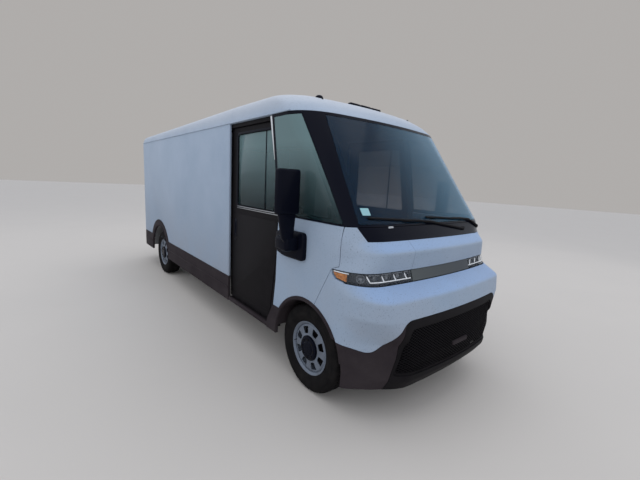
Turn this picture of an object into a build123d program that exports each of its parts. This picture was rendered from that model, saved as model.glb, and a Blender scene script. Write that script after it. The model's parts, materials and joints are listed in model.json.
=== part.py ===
"""Electric delivery van: a walk-in step van with sliding cab doors and a roll-up rear door.

Frame: millimetres, +Z up, the van faces -Y and its left (driver's) side is +X.
The origin is on the ground under the middle of the van. Stations along the van are
given from the front axle and turned into Y by the function at(). The cab skin is a stack
of horizontal outlines; every panel, pane and lamp of the nose is a piece of that skin.
"""

import os
from collections import namedtuple
from math import cos, radians, sin

from build123d import *

os.makedirs("parts", exist_ok=True)

# ---------------------------------------------------------------- main sizes
wheelbase = 4660.0
front_overhang = 925.0
rear_overhang = 1590.0
half_width = 1033.0
gutter = 2515.0
cab_roof_rise = 253.0
overall_length = front_overhang + wheelbase + rear_overhang

skin = 25.0
fit = 0.3
running = 0.05
flatness = 1e-7
shut_gap = 6.0
turned_sides = 20
tyre_sides = 28
arch_sides = 36
hub_sides = 12

inner_face = half_width - skin
wide = 2 * half_width
tall = 2 * gutter
far_front = -front_overhang - skin
front_axle_y = front_overhang - overall_length / 2


def at(station):
    """Y of a station measured rearwards from the front axle."""
    return front_axle_y + station


# ---------------------------------------------------------------- heights
sill_low = 396.0
sill_high = 444.0
cladding_top = 706.0
door_kink = 671.0
belt = 1583.0
floor_low = 630.0
cab_floor_top = 660.0
cargo_floor_top = 690.0

# ---------------------------------------------------------------- wheels and axles
tyre_radius = 407.0
tyre_width = 245.0
rim_seat = 228.0
rim_flange = 246.0
rim_width = 200.0
flange_slope = 12.0
rim_wall = 12.0
track_half = half_width - 171.0
hub_radius = 78.0
hand_holes = 8
spindle_radius = 32.0
spindle_reach = 60.0
kingpin_x = track_half - 62.0
kingpin_radius = 34.0
steer_wall = kingpin_x - 295.0
front_arch = 455.0
front_arch_lip = 490.0
rear_arch = 500.0
rear_arch_lip = 640.0
rear_well_x = half_width - 393.0
liner_sheet = 15.0

# ---------------------------------------------------------------- side doors
door_face = half_width - 48.0
door_thick = 40.0
door_inner = door_face - door_thick
door_overlap = 30.0
door_travel = 950.0
door_bottom = 450.0
header_low = gutter - 47.0
opening_rear = 1570.0
post_depth = 60.0
frame_inner = half_width - 128.0
liner_outer = half_width - 103.0
window_low = belt + 13.0
window_high = gutter - 125.0
window_rear = 1382.0
window_divider = 24.0
divider_y = 818.0
pane_thick = 6.0
ledge_out = 10.0
rail_thick = 10.0
rail_depth = 28.0

# ---------------------------------------------------------------- cargo box
panel_rear = wheelbase + 1100.0
body_rear = wheelbase + 1430.0
step_rear = wheelbase + rear_overhang
rear_taper = 68.0
rear_opening = half_width - 153.0
rear_header = gutter - 75.0
rear_post_low = sill_low + 180.0
shutter_back = body_rear - 60.0
shutter_front = body_rear - 90.0
bulkhead_y = opening_rear + 70.0
bulkhead_rear = bulkhead_y + 25.0
doorway_half = 330.0
doorway_high = gutter - 195.0
pocket_rear = opening_rear + door_overlap + door_travel + 20.0

# ---------------------------------------------------------------- chassis
rail_inner = half_width - 633.0
rail_outer = half_width - 563.0
rail_low = 480.0
arm_half = 28.0
arm_window = 62.0
lower_arm_z = 285.0
upper_arm_z = 532.0
coil_x = kingpin_x - 210.0
coil_radius = 48.0
axle_gap = 380.0
cross_depth = 60.0

# Each level of the cab is one horizontal outline: a shallow bow across the nose, a knee,
# then a corner drawn by its pull point, then the flat side. "In" values run inwards from
# the flat side, "back" values run rearwards from the foremost point of the van.
Level = namedtuple("Level", "z nose_back knee_in knee_back pull_in pull_back side_back")
bow_steps = 2
corner_steps = 5

skirt = Level(z=300.0, nose_back=105.0, knee_in=433.0, knee_back=130.0, pull_in=243.0, pull_back=210.0, side_back=425.0)
lip = Level(z=390.0, nose_back=40.0, knee_in=413.0, knee_back=75.0, pull_in=233.0, pull_back=180.0, side_back=435.0)
bumper = Level(z=600.0, nose_back=0.0, knee_in=403.0, knee_back=45.0, pull_in=223.0, pull_back=160.0, side_back=435.0)
corner = Level(z=700.0, nose_back=15.0, knee_in=393.0, knee_back=57.0, pull_in=213.0, pull_back=170.0, side_back=445.0)
face_top = Level(z=910.0, nose_back=45.0, knee_in=253.0, knee_back=87.0, pull_in=23.0, pull_back=125.0, side_back=485.0)
shoulder = Level(z=1060.0, nose_back=68.0, knee_in=233.0, knee_back=113.0, pull_in=23.0, pull_back=125.0, side_back=505.0)
lamp_low = Level(z=1150.0, nose_back=221.0, knee_in=233.0, knee_back=267.0, pull_in=28.0, pull_back=300.0, side_back=605.0)
lamp_high = Level(z=1240.0, nose_back=251.0, knee_in=233.0, knee_back=300.0, pull_in=13.0, pull_back=335.0, side_back=625.0)
crease = Level(z=1395.0, nose_back=230.0, knee_in=333.0, knee_back=257.0, pull_in=163.0, pull_back=285.0, side_back=525.0)
cowl_low = Level(z=1475.0, nose_back=317.0, knee_in=333.0, knee_back=345.0, pull_in=163.0, pull_back=365.0, side_back=505.0)
belt_level = Level(z=belt, nose_back=388.0, knee_in=333.0, knee_back=410.0, pull_in=153.0, pull_back=425.0, side_back=525.0)
glass_top = Level(z=gutter, nose_back=982.0, knee_in=283.0, knee_back=1017.0, pull_in=48.0, pull_back=1035.0, side_back=1205.0)
cab_levels = (skirt, lip, bumper, corner, face_top, shoulder, lamp_low, lamp_high, crease, cowl_low,
              belt_level, glass_top)

# the brow of the roof leans back above the glass; its heights are shares of the roof's rise
brow_low = Level(z=gutter + 0.36 * cab_roof_rise, nose_back=1095.0, knee_in=313.0, knee_back=1130.0, pull_in=68.0,
                 pull_back=1150.0, side_back=1315.0)
brow_mid = Level(z=gutter + 0.69 * cab_roof_rise, nose_back=1250.0, knee_in=350.0, knee_back=1283.0, pull_in=113.0,
                 pull_back=1310.0, side_back=1485.0)
brow_high = Level(z=gutter + 0.91 * cab_roof_rise, nose_back=1445.0, knee_in=393.0, knee_back=1485.0, pull_in=163.0,
                  pull_back=1515.0, side_back=1705.0)
brow_end = Level(z=gutter + 1.13 * cab_roof_rise, nose_back=1785.0, knee_in=473.0, knee_back=1825.0, pull_in=233.0,
                 pull_back=1855.0, side_back=2055.0)
brow_levels = (glass_top, brow_low, brow_mid, brow_high, brow_end)

# ---------------------------------------------------------------- roof section
roof_crease_rise = 60.0
roof_crease_in = 14.0
roof_edge_in = 150.0
roof_pull_in = 36.0
roof_crown = 42.0
rear_roof_fall = 80.0
roof_thick = 40.0
edge_steps = 4
crown_steps = 2

# front edge of the side door opening, as (station, height) from the roof down
door_front_edge = ((649.0, gutter), (476.0, 1569.0), (490.0, 934.0), (521.0, door_kink), (629.0, 484.0))


# ================================================================ helpers
def drawn_in(lead, points, tail, inset):
    """Points moved to the left of their run by an inset; lead and tail continue the run past its ends."""
    run = [lead, *points, tail]
    moved = []
    for before, here, after in zip(run, run[1:], run[2:]):
        along = (Vector(*after) - Vector(*before)).normalized()
        moved.append((here[0] - inset * along.Y, here[1] + inset * along.X))
    return moved


def curve_points(start, pull, end, steps):
    """Even steps along the curve from start to end that a pull point draws out."""
    shares = [step / steps for step in range(steps + 1)]
    return [
        tuple((1 - s) ** 2 * a + 2 * s * (1 - s) * b + s**2 * c for a, b, c in zip(start, pull, end)) for s in shares
    ]


def nose_points(level, inset):
    """Half outline of the cab at one level, from the middle of the nose to the flat side."""
    knee = (half_width - level.knee_in, level.knee_back)
    pull = (half_width - level.pull_in, level.pull_back)
    side = (half_width, level.side_back)
    bow = [
        (knee[0] * step / bow_steps, level.nose_back + (level.knee_back - level.nose_back) * (step / bow_steps) ** 2)
        for step in range(bow_steps)
    ]
    points = [*bow, *curve_points(knee, pull, side, corner_steps)]
    across = (-points[1][0], points[1][1])
    beyond = (half_width, level.side_back + skin)
    return [(x, at(back - front_overhang)) for x, back in drawn_in(across, points, beyond, inset)]


def flat_facets(corners):
    """One flat face over four corners, or two triangles where the corners don't lie in a plane."""
    first, second, third, fourth = corners
    normal = (second - first).cross(third - first).normalized()
    if abs(normal.dot(fourth - first)) < flatness:
        return [Face(Wire.make_polygon(corners))]
    return [Face(Wire.make_polygon((first, second, third))), Face(Wire.make_polygon((first, third, fourth)))]


def facet_loft(rings):
    """Closed form of flat facets through a run of rings with matching corners."""
    faces = [Face(Wire.make_polygon(rings[0])), Face(Wire.make_polygon(rings[-1]))]
    for ring, next_ring in zip(rings, rings[1:]):
        for index in range(len(ring)):
            faces += flat_facets((ring[index - 1], ring[index], next_ring[index], next_ring[index - 1]))
    return Solid(Shell(faces))


def cab_volume(inset=0.0, levels=cab_levels):
    """Closed form of the cab through its levels, drawn in by an inset."""
    rings = []
    for level in levels:
        half = nose_points(level, inset)
        side_x = half_width - inset
        outline = [*[(-x, y) for x, y in reversed(half[1:])], *half, (side_x, at(opening_rear)),
                   (-side_x, at(opening_rear))]
        rings.append([Vector(x, y, level.z) for x, y in outline])
    return facet_loft(rings)


def cab_shell(outer_inset, inner_inset, levels=cab_levels):
    """Skin of the cab between two insets."""
    outer = cab_volume(outer_inset, levels)
    inner = cab_volume(inner_inset, levels)
    with BuildPart() as shell:
        add(outer)
        add(inner, mode=Mode.SUBTRACT)
    return shell.part


def side_region(points, low_x, high_x):
    """Block between two X planes over a (station, height) outline."""
    with BuildPart() as region:
        with BuildSketch(Plane.YZ.offset(low_x)):
            with BuildLine():
                Polyline(*[(at(station), height) for station, height in points], close=True)
            make_face()
        extrude(amount=high_x - low_x)
    return region.part


def front_plane(station):
    """Cross plane at a station, with X to the left side and Y up, facing forwards."""
    return Plane(origin=(0, at(station), 0), x_dir=(1, 0, 0), z_dir=(0, -1, 0))


def front_region(points, front=far_front, rear=0.0):
    """Block between two stations over an (X, height) outline."""
    with BuildPart() as region:
        with BuildSketch(front_plane(rear)):
            with BuildLine():
                Polyline(*points, close=True)
            make_face()
        extrude(amount=rear - front)
    return region.part


def block(low, high):
    """Box between two corners given as (X, station, height)."""
    return side_region(
        ((low[1], low[2]), (high[1], low[2]), (high[1], high[2]), (low[1], high[2])), low[0], high[0]
    )


def disc(station, height, radius, low_x, high_x):
    """Cylinder along X."""
    with BuildPart() as region:
        with BuildSketch(Plane.YZ.offset(low_x)):
            with Locations((at(station), height)):
                Circle(radius)
        extrude(amount=high_x - low_x)
    return region.part


def turned_form(plane, steps, sides=turned_sides):
    """Flat-sided turned solid through (distance, radius) steps along a plane's normal."""
    corners = [radians(turn * 360.0 / sides) for turn in range(sides)]
    return facet_loft([
        [plane.from_local_coords(Vector(radius * cos(turn), radius * sin(turn), distance)) for turn in corners]
        for distance, radius in steps
    ])


def arch(station, radius, low_x, high_x):
    """Flat-sided drum along X round a wheel's centre."""
    plane = Plane(origin=(low_x, at(station), tyre_radius), x_dir=(0, 1, 0), z_dir=(1, 0, 0))
    return turned_form(plane, ((0.0, radius), (high_x - low_x, radius)), arch_sides)


def strip_outline(start, end, width):
    """Corners of a straight strip between two points."""
    run = (Vector(*end) - Vector(*start)).normalized()
    across = Vector(-run.Y, run.X) * (width / 2)
    corners = (Vector(*start) + across, Vector(*end) + across, Vector(*end) - across, Vector(*start) - across)
    return [(corner_point.X, corner_point.Y) for corner_point in corners]


def door_edge_at(height):
    """Station of the door opening's front edge at a height."""
    for (upper_y, upper_z), (lower_y, lower_z) in zip(door_front_edge, door_front_edge[1:]):
        if height >= lower_z:
            share = (height - lower_z) / (upper_z - lower_z)
            return lower_y + share * (upper_y - lower_y)
    return door_front_edge[-1][0]


def door_edge_line(shift, top, bottom):
    """The front edge from top to bottom height, shifted rearwards."""
    inner = [(y + shift, z) for y, z in door_front_edge if bottom < z < top]
    return [(door_edge_at(top) + shift, top), *inner, (door_edge_at(bottom) + shift, bottom)]


def save(part, name):
    """Label a finished piece and write it."""
    part.label = name
    export_step(part, f"parts/{name}.step")


# ================================================================ cab skin
cab_skin = cab_shell(0.0, skin)
seam_top = (-415.0, belt)
seam_low = (-390.0, 1267.0)
lamp_tip = (-300.0, lamp_high.z)
arch_seam = (-130.0, 885.0)
cowl_low_x = half_width - 168.0
cowl_high_x = half_width - 103.0

# hood: the band above the lamps, with its corners rising to the belt line
hood_side = side_region(
    ((far_front, lamp_high.z), lamp_tip, seam_low, seam_top, (far_front, belt)), -wide, wide
)
cowl_region = front_region(
    ((-cowl_low_x, cowl_low.z), (cowl_low_x, cowl_low.z), (cowl_high_x, belt), (-cowl_high_x, belt)),
)
with BuildPart() as hood:
    add(cab_skin)
    add(hood_side, mode=Mode.INTERSECT)
    add(cowl_region, mode=Mode.SUBTRACT)
save(hood.part, "hood")

with BuildPart() as cowl:
    add(cab_skin)
    add(hood_side, mode=Mode.INTERSECT)
    add(cowl_region, mode=Mode.INTERSECT)
save(cowl.part, "cowl")

# lamp band between hood and bumper shoulder
bar_end = 468.0
lamp_bend = -620.0
lamp_depth = 60.0
lamp_skin = cab_shell(0.0, lamp_depth, (lamp_low, lamp_high))
lamp_side = side_region(
    ((far_front, lamp_low.z), (lamp_bend, lamp_low.z), lamp_tip, (far_front, lamp_high.z)), -wide, wide
)
bar_region = block((-bar_end, far_front, lamp_low.z), (bar_end, 0.0, lamp_high.z))
with BuildPart() as light_bar:
    add(lamp_skin)
    add(bar_region, mode=Mode.INTERSECT)
save(light_bar.part, "light_bar")

with BuildPart() as headlamps:
    add(lamp_skin)
    add(lamp_side, mode=Mode.INTERSECT)
    add(bar_region, mode=Mode.SUBTRACT)
save(headlamps.part, "headlamps")

# front fascia: shoulder and face, down to the dark lower bumper
fascia_side = side_region(
    ((far_front, sill_low), (arch_seam[0], sill_low), arch_seam, lamp_tip, (lamp_bend, lamp_low.z),
     (far_front, lamp_low.z)), -wide, wide
)
fascia_right = ((half_width - 318.0, face_top.z), (half_width - 218.0, cladding_top), (half_width - 148.0, 615.0),
                (half_width, 662.0), (wide, 662.0))
fascia_left = [(-x, z) for x, z in reversed(fascia_right)]
fascia_front = front_region((*fascia_left, *fascia_right, (wide, belt), (-wide, belt)))
front_arch_disc = arch(0.0, front_arch_lip, -wide, wide)
with BuildPart() as front_fascia:
    add(cab_skin)
    add(fascia_side, mode=Mode.INTERSECT)
    add(fascia_front, mode=Mode.INTERSECT)
    add(front_arch_disc, mode=Mode.SUBTRACT)
save(front_fascia.part, "front_fascia")

# dark lower bumper with the grille opening
bumper_region = block((-wide, far_front, skirt.z), (wide, 0.0, face_top.z))
grille_right = ((half_width - 288.0, 440.0), (half_width - 311.0, 660.0), (half_width - 388.0, 850.0))
grille_outline = [*grille_right, *[(-x, z) for x, z in reversed(grille_right)]]
grille_opening = front_region(grille_outline)
with BuildPart() as bumper_lower:
    add(cab_skin)
    add(bumper_region, mode=Mode.INTERSECT)
    add(fascia_front, mode=Mode.SUBTRACT)
    add(front_arch_disc, mode=Mode.SUBTRACT)
    add(grille_opening, mode=Mode.SUBTRACT)
save(bumper_lower.part, "bumper_lower")

# grille mesh set back inside the opening, with a blank badge bar at its middle
mesh_back = 18.0
mesh_thick = 6.0
mesh_rim = 22.0
mesh_pitch_x = 164.0
mesh_pitch_z = 112.0
mesh_web = 24.0
mesh_rows = 7
mesh_columns = 11
badge_half = 135.0
badge_z = 596.0
badge_height = 44.0
mesh_skin = cab_shell(mesh_back, mesh_back + mesh_thick, (lip, bumper, face_top))
badge_bar = block((-badge_half, -front_overhang, badge_z - badge_height / 2),
                  (badge_half, -front_overhang + mesh_back + mesh_thick, badge_z + badge_height / 2))
mesh_middle = (grille_right[0][1] + grille_right[-1][1]) / 2
cell_high = mesh_pitch_z - mesh_web
cell_wide = mesh_pitch_x - mesh_web
with BuildSketch(front_plane(0.0)) as mesh_field:
    with BuildLine():
        Polyline(*grille_outline, close=True)
    make_face()
    offset(amount=-mesh_rim, kind=Kind.INTERSECTION)
with BuildSketch(front_plane(0.0)) as mesh_cells:
    for shift_x, shift_z in ((0.0, 0.0), (mesh_pitch_x / 2, mesh_pitch_z / 2)):
        with Locations((shift_x, mesh_middle + shift_z)):
            with GridLocations(mesh_pitch_x, mesh_pitch_z, mesh_columns, mesh_rows):
                Polygon((cell_wide / 2, 0), (0, cell_high / 2), (-cell_wide / 2, 0), (0, -cell_high / 2), align=None)
    add(mesh_field.sketch, mode=Mode.INTERSECT)
with BuildPart() as grille_mesh:
    add(mesh_skin)
    add(grille_opening, mode=Mode.INTERSECT)
    extrude(mesh_cells.sketch, amount=front_overhang + skin, mode=Mode.SUBTRACT)
    add(badge_bar)
save(grille_mesh.part, "grille_mesh")

# cab sides between the nose seam and the door opening
side_bottom = door_edge_line(0.0, belt, door_kink)
cab_side_region = side_region(
    (seam_top, *side_bottom, (0.0, door_kink), (0.0, tyre_radius), arch_seam, lamp_tip, seam_low), -wide, wide
)
with BuildPart() as cab_sides:
    add(cab_skin)
    add(cab_side_region, mode=Mode.INTERSECT)
    add(front_arch_disc, mode=Mode.SUBTRACT)
save(cab_sides.part, "cab_sides")

# ================================================================ glazing
glass_thick = 8.0
glass_skin = cab_shell(0.0, glass_thick, (belt_level, glass_top))
frame_skin = cab_shell(0.0, skin, (belt_level, glass_top))
pillar_low = (-421.0, belt)
pillar_high = (174.0, gutter - 15.0)
pillar_width = 120.0
screen_low_x = half_width - 128.0
screen_high_x = half_width - 133.0
screen_low = belt + 17.0
screen_high = gutter - 30.0
screen_rear = 265.0
screen_outline = ((-screen_low_x, screen_low), (screen_low_x, screen_low), (screen_high_x, screen_high),
                  (-screen_high_x, screen_high))
screen_region = front_region(screen_outline, far_front, screen_rear)
quarter_strip = 40.0
quarter_low = belt + 14.0
quarter_high = gutter - 32.0
pillar_slope = (pillar_high[0] - pillar_low[0]) / (pillar_high[1] - pillar_low[1])
quarter_front_low = pillar_low[0] + pillar_width + pillar_slope * (quarter_low - belt)
quarter_front_high = pillar_low[0] + pillar_width + pillar_slope * (quarter_high - belt)
quarter_outline = (
    (quarter_front_low, quarter_low), (door_edge_at(quarter_low) - quarter_strip, quarter_low),
    (door_edge_at(quarter_high) - quarter_strip, quarter_high), (quarter_front_high, quarter_high),
)
quarter_region = side_region(quarter_outline, -wide, wide)
upper_cab = side_region(
    ((far_front, belt), *reversed(door_edge_line(0.0, gutter, belt)), (far_front, gutter)), -wide, wide
)
with BuildPart() as windshield_frame:
    add(frame_skin)
    add(upper_cab, mode=Mode.INTERSECT)
    add(screen_region, mode=Mode.SUBTRACT)
    add(quarter_region, mode=Mode.SUBTRACT)
save(windshield_frame.part, "windshield_frame")

with BuildPart() as windshield:
    add(glass_skin)
    add(screen_region, mode=Mode.INTERSECT)
save(windshield.part, "windshield")

with BuildPart() as quarter_glasses:
    add(glass_skin)
    add(quarter_region, mode=Mode.INTERSECT)
    add(screen_region, mode=Mode.SUBTRACT)
save(quarter_glasses.part, "quarter_glasses")

# two long wipers parked along the foot of the glass, pivots on the left of each blade
wiper_rise = 14.0
blade_width = 24.0
arm_width = 20.0
pivot_half = 22.0
wiper_skin = cab_shell(-wiper_rise, 0.0, (cowl_low, belt_level, glass_top))
wiper_runs = (
    ((-816.0, belt + 66.0), (-40.0, belt + 24.0), (480.0, belt - 54.0)),
    ((-94.0, belt + 62.0), (660.0, belt + 30.0), (850.0, belt - 48.0)),
)
with BuildPart() as wipers:
    for tip, heel, pivot in wiper_runs:
        middle = tuple((Vector(*tip) + Vector(*heel)) * 0.5)[:2]
        add(front_region(strip_outline(tip, heel, blade_width)))
        add(front_region(strip_outline(middle, pivot, arm_width)))
        add(block((pivot[0] - pivot_half, far_front, pivot[1] - pivot_half),
                  (pivot[0] + pivot_half, 0.0, pivot[1] + pivot_half)))
    add(wiper_skin, mode=Mode.INTERSECT)
save(wipers.part, "wipers")


# ================================================================ roof
def roof_points(rise, inset):
    """Half cross-section of the roof from the gutter up to its middle."""
    crease = (half_width - roof_crease_in, gutter + roof_crease_rise)
    edge = (half_width - roof_edge_in, gutter + rise - roof_crown)
    pull = (half_width - roof_pull_in, edge[1])
    crown = [
        (edge[0] * (1 - step / crown_steps), gutter + rise - roof_crown * (1 - step / crown_steps) ** 2)
        for step in range(1, crown_steps + 1)
    ]
    points = [(half_width, gutter), *curve_points(crease, pull, edge, edge_steps), *crown]
    return drawn_in((half_width, floor_low), points, (-crown[-2][0], crown[-2][1]), inset)


def roof_volume(front, rear, front_rise, rear_rise, inset=0.0):
    """Closed roof form between two stations."""
    rings = []
    for station, rise in ((front, front_rise), (rear, rear_rise)):
        half = roof_points(rise, inset)
        outline = [*half, *[(-x, z) for x, z in reversed(half[:-1])]]
        rings.append([Vector(x, at(station), z) for x, z in outline])
    return facet_loft(rings)


def box_form(inset):
    """Plan of the cargo box with its tapered rear corners, as a tall block."""
    side_x = half_width - inset
    rear_x = side_x - rear_taper
    plan_line = ((side_x, opening_rear), (side_x, panel_rear), (rear_x, body_rear - inset),
                 (-rear_x, body_rear - inset), (-side_x, panel_rear), (-side_x, opening_rear))
    with BuildPart() as form:
        with BuildSketch(Plane.XY):
            with BuildLine():
                Polyline(*[(x, at(station)) for x, station in plan_line], close=True)
            make_face()
        extrude(amount=tall)
    return form.part


roof_front = -100.0
rear_roof_rise = cab_roof_rise - rear_roof_fall
cab_roof_outer = roof_volume(roof_front, opening_rear, cab_roof_rise, cab_roof_rise)
cab_roof_inner = roof_volume(roof_front, opening_rear, cab_roof_rise, cab_roof_rise, roof_thick)
brow_outer = cab_volume(0.0, brow_levels)
brow_inner = cab_volume(2 * roof_thick, brow_levels)
with BuildPart() as roof_hollow:
    add(cab_roof_inner)
    add(brow_inner, mode=Mode.INTERSECT)
with BuildPart() as roof_form:
    add(cab_roof_outer)
    add(brow_outer, mode=Mode.INTERSECT)
with BuildPart() as cab_roof:
    add(roof_form.part)
    add(roof_hollow.part, mode=Mode.SUBTRACT)
save(cab_roof.part, "cab_roof")

cargo_roof_outer = roof_volume(opening_rear, body_rear, cab_roof_rise, rear_roof_rise)
cargo_roof_inner = roof_volume(opening_rear, body_rear, cab_roof_rise, rear_roof_rise, roof_thick)
box_outer = box_form(0.0)
box_inner = box_form(roof_thick)
with BuildPart() as cargo_hollow:
    add(cargo_roof_inner)
    add(box_inner, mode=Mode.INTERSECT)
with BuildPart() as cargo_roof:
    add(cargo_roof_outer)
    add(box_outer, mode=Mode.INTERSECT)
    add(cargo_hollow.part, mode=Mode.SUBTRACT)
save(cargo_roof.part, "cargo_roof")

# marker lamps seated on the roof skin: a long bar in the middle and a small one at each corner
marker_y = 545.0
marker_depth = 60.0
marker_bar_half = 235.0
marker_end_x = half_width - 393.0
marker_end_half = 35.0
marker_top = gutter + cab_roof_rise + 7.0
marker_sink = 90.0
with BuildPart() as roof_markers:
    for middle_x, half in ((0.0, marker_bar_half), (-marker_end_x, marker_end_half), (marker_end_x, marker_end_half)):
        add(block((middle_x - half, marker_y - marker_depth / 2, marker_top - marker_sink),
                  (middle_x + half, marker_y + marker_depth / 2, marker_top)))
    chamfer(roof_markers.edges().group_by(Axis.Z)[-1], 10.0)
    add(roof_form.part, mode=Mode.SUBTRACT)
save(roof_markers.part, "roof_markers")

# ================================================================ cargo box
rear_arch_disc = arch(wheelbase, rear_arch_lip, -wide, wide)
with BuildPart() as side_panels:
    add(block((inner_face, opening_rear, cladding_top), (half_width, panel_rear, gutter)))
    add(rear_arch_disc, mode=Mode.SUBTRACT)
    mirror(about=Plane.YZ)
save(side_panels.part, "side_panels")

post_width = 50.0
post_before_arch = wheelbase - rear_arch_lip - post_width
post_after_arch = wheelbase + rear_arch_lip + post_width
post_stations = (pocket_rear, (pocket_rear + post_before_arch) / 2, post_before_arch, post_after_arch,
                 panel_rear - post_width)
well_radius = rear_arch + liner_sheet
well_disc = arch(wheelbase, well_radius, 0.0, wide)
with BuildPart() as cargo_liners:
    add(block((frame_inner, bulkhead_y, floor_low), (liner_outer, shutter_front, gutter)))
    for station in post_stations:
        add(block((liner_outer, station, cladding_top), (inner_face, station + post_width, gutter)))
    add(well_disc, mode=Mode.SUBTRACT)
    mirror(about=Plane.YZ)
save(cargo_liners.part, "cargo_liners")

with BuildPart() as bulkhead:
    add(block((-frame_inner, bulkhead_y, floor_low), (frame_inner, bulkhead_rear, gutter)))
    add(block((-doorway_half, bulkhead_y, cargo_floor_top), (doorway_half, bulkhead_rear, doorway_high)),
        mode=Mode.SUBTRACT)
save(bulkhead.part, "bulkhead")

well_inner = rear_well_x - liner_sheet
with BuildPart() as cargo_floor:
    add(block((-frame_inner, bulkhead_rear, floor_low), (frame_inner, shutter_front, cargo_floor_top)))
    for low_x, high_x in ((well_inner, wide), (-wide, -well_inner)):
        add(arch(wheelbase, well_radius, low_x, high_x), mode=Mode.SUBTRACT)
save(cargo_floor.part, "cargo_floor")

with BuildPart() as rear_wheel_wells:
    add(arch(wheelbase, well_radius, well_inner, inner_face))
    add(arch(wheelbase, rear_arch, rear_well_x, inner_face), mode=Mode.SUBTRACT)
    add(block((0.0, 0.0, -wide), (wide, overall_length, rail_low)), mode=Mode.SUBTRACT)
    mirror(about=Plane.YZ)
save(rear_wheel_wells.part, "rear_wheel_wells")

# tapered rear corner posts with header and sill
with BuildPart() as rear_frame:
    add(block((-wide, panel_rear, rear_post_low), (wide, body_rear, gutter)))
    add(box_outer, mode=Mode.INTERSECT)
    add(block((-liner_outer, panel_rear, 0.0), (liner_outer, shutter_back, tall)), mode=Mode.SUBTRACT)
    add(block((-rear_opening, panel_rear, cargo_floor_top), (rear_opening, body_rear, rear_header)),
        mode=Mode.SUBTRACT)
save(rear_frame.part, "rear_frame")

# roll-up door: a stack of slats with grooves between them and a pull bar sunk in the lowest slat
door_slats = 8
slat_groove = 8.0
shutter_top = rear_header + 30.0
slat_pitch = (shutter_top - cargo_floor_top) / door_slats
handle_half = 80.0
handle_height = 90.0
handle_sink = 20.0
handle_bar = 24.0
handle_shy = 4.0
with BuildPart() as rollup_door:
    add(block((-frame_inner + fit, shutter_front, cargo_floor_top), (frame_inner - fit, shutter_back, shutter_top)))
    for slat in range(1, door_slats):
        height = cargo_floor_top + slat * slat_pitch
        add(block((-rear_opening, shutter_back - slat_groove, height - slat_groove),
                  (rear_opening, shutter_back, height + slat_groove)), mode=Mode.SUBTRACT)
    handle_z = cargo_floor_top + slat_pitch / 2
    add(block((-handle_half, shutter_back - handle_sink, handle_z),
              (handle_half, shutter_back, handle_z + handle_height)), mode=Mode.SUBTRACT)
    add(block((-handle_half, shutter_back - handle_sink, handle_z + handle_height - handle_bar),
              (handle_half, shutter_back - handle_shy, handle_z + handle_height)))
save(rollup_door.part, "rollup_door")

tail_lamp_in = 135.0
tail_lamp_wide = 52.0
tail_lamp_low = 1000.0
tail_lamp_high = 1420.0
tail_lamp_out = 14.0
tail_outline = ((half_width - tail_lamp_in, tail_lamp_low), (half_width - tail_lamp_in + tail_lamp_wide, tail_lamp_high))
with BuildPart() as tail_lamps:
    add(block((tail_outline[0][0], body_rear, tail_lamp_low), (tail_outline[1][0], body_rear + tail_lamp_out, tail_lamp_high)))
    chamfer(tail_lamps.edges().group_by(Axis.Y)[-1], tail_lamp_out / 2)
    mirror(about=Plane.YZ)
save(tail_lamps.part, "tail_lamps")

# rear step on two brackets at the ends of the frame rails
step_half = half_width - 103.0
step_low = 470.0
step_high = 560.0
step_corner = 60.0
with BuildPart() as rear_bumper:
    with BuildSketch(Plane.XY.offset(step_low)):
        with BuildLine():
            Polyline((-step_half, at(body_rear)), (step_half, at(body_rear)), (step_half, at(step_rear - step_corner)),
                     (step_half - step_corner, at(step_rear)), (step_corner - step_half, at(step_rear)),
                     (-step_half, at(step_rear - step_corner)), close=True)
        make_face()
    extrude(amount=step_high - step_low)
    for x in (rail_inner, -rail_outer):
        add(block((x, shutter_back, rail_low), (x + rail_outer - rail_inner, body_rear, step_high - fit)))
save(rear_bumper.part, "rear_bumper")

# ================================================================ side doors and frames
door_low = door_bottom + 1.0
door_high = header_low - shut_gap
leaf_rear = opening_rear + door_overlap
window_front_low = door_edge_at(window_low) + 178.0
window_front_high = door_edge_at(window_high) + 100.0
rail_mid = (door_face + door_inner) / 2
pull_station = 1440.0
pull_width = 36.0
pull_low = 1230.0
pull_high = 1420.0
pull_out = 14.0
for side, name in ((1, "left"), (-1, "right")):
    low_x, high_x = sorted((side * door_inner, side * door_face))
    ledge_low, ledge_high = sorted((side * door_face, side * (door_face + ledge_out)))
    pull_low_x, pull_high_x = sorted((side * door_face, side * (door_face + pull_out)))
    slot_low, slot_high = sorted((side * (rail_mid - rail_thick / 2 - fit), side * (rail_mid + rail_thick / 2 + fit)))
    glass_low, glass_high = sorted((side * (rail_mid - pane_thick / 2), side * (rail_mid + pane_thick / 2)))
    outline = (*door_edge_line(shut_gap, door_high, door_low), (leaf_rear, door_low), (leaf_rear, door_high))
    front_pane = ((window_front_low, window_low), (divider_y, window_low), (divider_y, window_high),
                  (window_front_high, window_high))
    rear_pane = ((divider_y + window_divider, window_low), (window_rear, window_low), (window_rear, window_high),
                 (divider_y + window_divider, window_high))
    with BuildPart() as door:
        add(side_region(outline, low_x, high_x))
        for pane in (front_pane, rear_pane):
            add(side_region(pane, low_x, high_x), mode=Mode.SUBTRACT)
        add(block((slot_low, 0.0, door_high - rail_depth), (slot_high, leaf_rear, header_low)), mode=Mode.SUBTRACT)
        add(block((ledge_low, window_front_low, belt - ledge_out), (ledge_high, window_rear, belt + ledge_out)))
        add(block((pull_low_x, pull_station, pull_low), (pull_high_x, pull_station + pull_width, pull_high)))
    save(door.part, f"door_{name}")
    with BuildPart() as door_glass:
        for pane in (front_pane, rear_pane):
            add(side_region(pane, glass_low, glass_high))
    save(door_glass.part, f"door_glass_{name}")

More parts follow.
